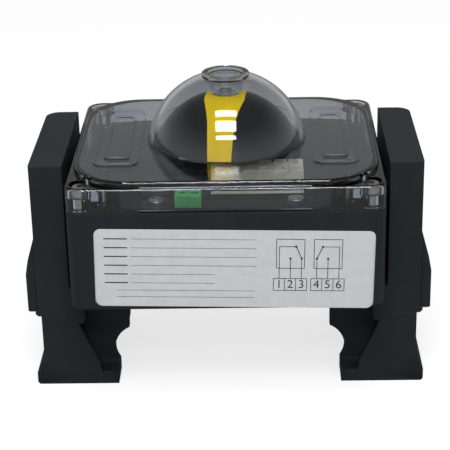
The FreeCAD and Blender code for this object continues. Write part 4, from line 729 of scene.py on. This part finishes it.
def printed_number(text, across, up, size, finish):
    """A digit as a mesh, its points laid on the film."""
    curve = bpy.data.curves.new("number_" + text, "FONT")
    curve.body = text
    curve.size = size
    curve.align_x = "CENTER"
    curve.align_y = "CENTER"
    draft = new_object("number_draft", curve)
    bpy.context.view_layer.update()
    mesh = bpy.data.meshes.new_from_object(draft)
    bpy.data.objects.remove(draft)
    flat = np.zeros(len(mesh.vertices) * 3)
    mesh.vertices.foreach_get("co", flat)
    flat = flat.reshape(-1, 3)
    placed = on_front(flat[:, 0] + across * MM, flat[:, 1] + up * MM, FILM + INK_LIFT)
    mesh.vertices.foreach_set("co", placed.reshape(-1))
    dress(mesh, finish)
    piece = new_object("label_number_" + text, mesh)
    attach(piece, "housing")


middle_height = (TERMINAL_LOW + TERMINAL_HIGH) / 2
for index, (left, mirrored) in enumerate(DIAGRAMS):
    for column in range(TERMINALS):
        digit = str(TERMINALS * index + column + 1)
        centre = left + (column + 0.5) * TERMINAL_PITCH
        printed_number(digit, centre, middle_height, DIGIT_SIZE, ink)
        print("terminal", digit, "stands", round(centre, 2), "mm from the middle")

# %% [markdown]
# ## The camera
#
# A long lens a little over half a metre away looks down at the front. It could be aimed with
# a Track To constraint, but that can't lean sideways as a hand-held camera does. So its axes
# are worked out from its heading, its tilt and a slight roll, and written into its matrix.

# %% Camera
def placed(right, up, back, place):
    """World matrix of an object from its three axes and its place, as four columns."""
    matrix = np.eye(4)
    matrix[:3] = np.column_stack([right, up, back, place])
    return Matrix(matrix.tolist())


CAMERA_PLACE = (13.0 * MM, -616.2 * MM, 322.5 * MM)
HEADING = math.radians(-1.351)
TILT = math.radians(-23.102)
ROLL = math.radians(-1.251)
# the lens and the sensor's width are in millimetres, as on a real camera
LENS = 121.5
SENSOR_WIDTH = 36.0
NEAREST = 0.01


def camera_axes(heading, tilt, roll):
    """Forward from heading and tilt; right and up at right angles to it, turned by the roll."""
    forward = np.array([math.sin(heading) * math.cos(tilt),
                        math.cos(heading) * math.cos(tilt), math.sin(tilt)])
    right = np.array([math.cos(heading), -math.sin(heading), 0.0])
    up = np.cross(right, forward)
    turned_right = right * math.cos(roll) + up * math.sin(roll)
    turned_up = up * math.cos(roll) - right * math.sin(roll)
    return turned_right, turned_up, forward


def add_camera():
    """A camera looks along its own minus Z, so its third axis is the way back."""
    right, up, forward = camera_axes(HEADING, TILT, ROLL)
    data = bpy.data.cameras.new("camera")
    data.lens = LENS
    data.sensor_width = SENSOR_WIDTH
    data.clip_start = NEAREST
    camera = new_object("camera", data)
    camera.matrix_world = placed(right, up, -forward, CAMERA_PLACE)
    bpy.context.scene.camera = camera


add_camera()
print("camera at", CAMERA_PLACE)

# %% [markdown]
# ## Lights
#
# The dome is a round mirror: it shows each lamp as a small bright patch. Three level strips,
# one above the other, give it the three bars of a slatted softbox, and they also light the
# whole box from the front and above. One large lamp would light the box as well, but show as
# one blob. Each strip is placed by its elevation as seen from the dome, one metre away, so its
# size in metres is nearly its size in radians.

# %% Strip lamps
DOME_CENTRE = np.array([0.0, 0.0, 95.4 * MM])
# elevation in degrees and height in metres of each strip
STRIPS = ((71.5, 0.150), (52.4, 0.268), (35.6, 0.096))
STRIP_LENGTH = 0.49
STRIP_RADIANCE = 12.0


def area_lamp(name, place, target, width, height, power):
    """A rectangular lamp that faces a target; its long side stays level."""
    data = bpy.data.lights.new(name, "AREA")
    data.shape = "RECTANGLE"
    data.size = width
    data.size_y = height
    data.energy = power
    lamp = new_object(name, data)
    back = np.array(place) - np.array(target)
    back /= np.linalg.norm(back)
    right = np.cross([0.0, 0.0, 1.0], back)
    right /= np.linalg.norm(right)
    lamp.matrix_world = placed(right, np.cross(back, right), back, place)


for number, (elevation, height) in enumerate(STRIPS):
    angle = math.radians(elevation)
    direction = np.array([0.0, -math.cos(angle), math.sin(angle)])
    power = STRIP_RADIANCE * math.pi * STRIP_LENGTH * height
    area_lamp(f"strip_{number}", DOME_CENTRE + direction, DOME_CENTRE, STRIP_LENGTH, height, power)
print("strip lamps hung:", len(STRIPS))

# %% [markdown]
# ## Floor and surroundings
#
# The floor is pale paper, and the room is white. More light could make them white in the
# picture, but it would flood the box. So each of them is white only for the rays that come
# straight from the camera, as the ray's own path tells. Rays that come by way of gloss or
# glass see a dimmer paper, and a room that darkens towards its ceiling: that is what a black
# box and its clear dome mirror in a real studio. All other rays see the plain level that
# lights the box. The paper's dull half still catches the soft shadow.

# %% Which rays see what
def mirrored_rays(tree):
    """Two factors: 1 for rays that came by way of gloss or glass and off nothing dull, and 1
    for rays straight from the camera."""
    path = add(tree, "ShaderNodeLightPath")
    either = add(tree, "ShaderNodeMath", {"operation": "MAXIMUM"})
    tree.links.new(path.outputs["Is Glossy Ray"], either.inputs[0])
    tree.links.new(path.outputs["Is Transmission Ray"], either.inputs[1])
    fresh = add(tree, "ShaderNodeMath", {"operation": "LESS_THAN"})
    tree.links.new(path.outputs["Diffuse Depth"], fresh.inputs[0])
    both = add(tree, "ShaderNodeMath", {"operation": "MULTIPLY"})
    tree.links.new(either.outputs["Value"], both.inputs[0])
    tree.links.new(fresh.outputs["Value"], both.inputs[1])
    return both.outputs["Value"], path.outputs["Is Camera Ray"]


def choose(tree, factor, unlit, lit):
    """A number that is unlit where the factor is 0 and lit where it is 1."""
    item = add(tree, "ShaderNodeMix")
    tree.links.new(factor, item.inputs["Factor"])
    for socket, value in (("A", unlit), ("B", lit)):
        if isinstance(value, float):
            item.inputs[socket].default_value = value
        else:
            tree.links.new(value, item.inputs[socket])
    return item.outputs["Result"]


print("ray helpers ready")

# %% Paper floor
PAPER_GREY = "#979797"
PAPER_GLOW = 0.74
GLASS_SHARE = 0.08
FLOOR_REACH = 4.0


def add_floor(reach):
    """A square of paper: a dull half that takes shadow and a glow for the camera's rays."""
    material, tree, output, _ = new_finish("paper_floor")
    base = add(tree, "ShaderNodeBsdfDiffuse", {"Color": paint(PAPER_GREY)})
    mirrored, direct = mirrored_rays(tree)
    strength = choose(tree, direct, choose(tree, mirrored, 0.0, PAPER_GLOW * GLASS_SHARE),
                      PAPER_GLOW)
    glow = add(tree, "ShaderNodeEmission", Strength=strength)
    both = add(tree, "ShaderNodeAddShader")
    tree.links.new(base.outputs["BSDF"], both.inputs[0])
    tree.links.new(glow.outputs["Emission"], both.inputs[1])
    tree.links.new(both.outputs["Shader"], output.inputs["Surface"])
    mesh = bpy.data.meshes.new("floor")
    mesh.from_pydata([(-reach, -reach, 0), (reach, -reach, 0), (reach, reach, 0),
                      (-reach, reach, 0)], [], [(0, 1, 2, 3)])
    dress(mesh, material)
    floor = new_object("floor", mesh)


add_floor(FLOOR_REACH)
print("floor laid, metres across:", 2 * FLOOR_REACH)

# %% White room
WHITE = (1.0, 1.0, 1.0, 1.0)
ROOM_LIGHT = 0.52
# the mirrored room: how high its walls end and its ceiling starts, and how bright both are
WALL_END = 0.1
CEILING_START = 0.7
WALL_LIGHT = 0.5
CEILING_LIGHT = 0.12


def set_world():
    """The ray's direction gives its height, from 0 on the horizon to 1 straight up."""
    world = bpy.data.worlds.new("studio")
    bpy.context.scene.world = world
    world.use_nodes = True
    tree = world.node_tree
    tree.nodes.clear()
    mirrored, direct = mirrored_rays(tree)
    direction = add(tree, "ShaderNodeTexCoord").outputs["Generated"]
    height = add(tree, "ShaderNodeSeparateXYZ", Vector=direction).outputs["Z"]
    room = add(tree, "ShaderNodeMapRange", {"From Min": WALL_END, "From Max": CEILING_START,
                                            "To Min": WALL_LIGHT, "To Max": CEILING_LIGHT},
               Value=height)
    unseen = choose(tree, mirrored, ROOM_LIGHT, room.outputs["Result"])
    strength = choose(tree, direct, unseen, 1.0)
    background = add(tree, "ShaderNodeBackground", {"Color": WHITE}, Strength=strength)
    output = add(tree, "ShaderNodeOutputWorld")
    tree.links.new(background.outputs["Background"], output.inputs["Surface"])


set_world()
bpy.context.scene.view_settings.view_transform = "Standard"
print("room light:", ROOM_LIGHT)
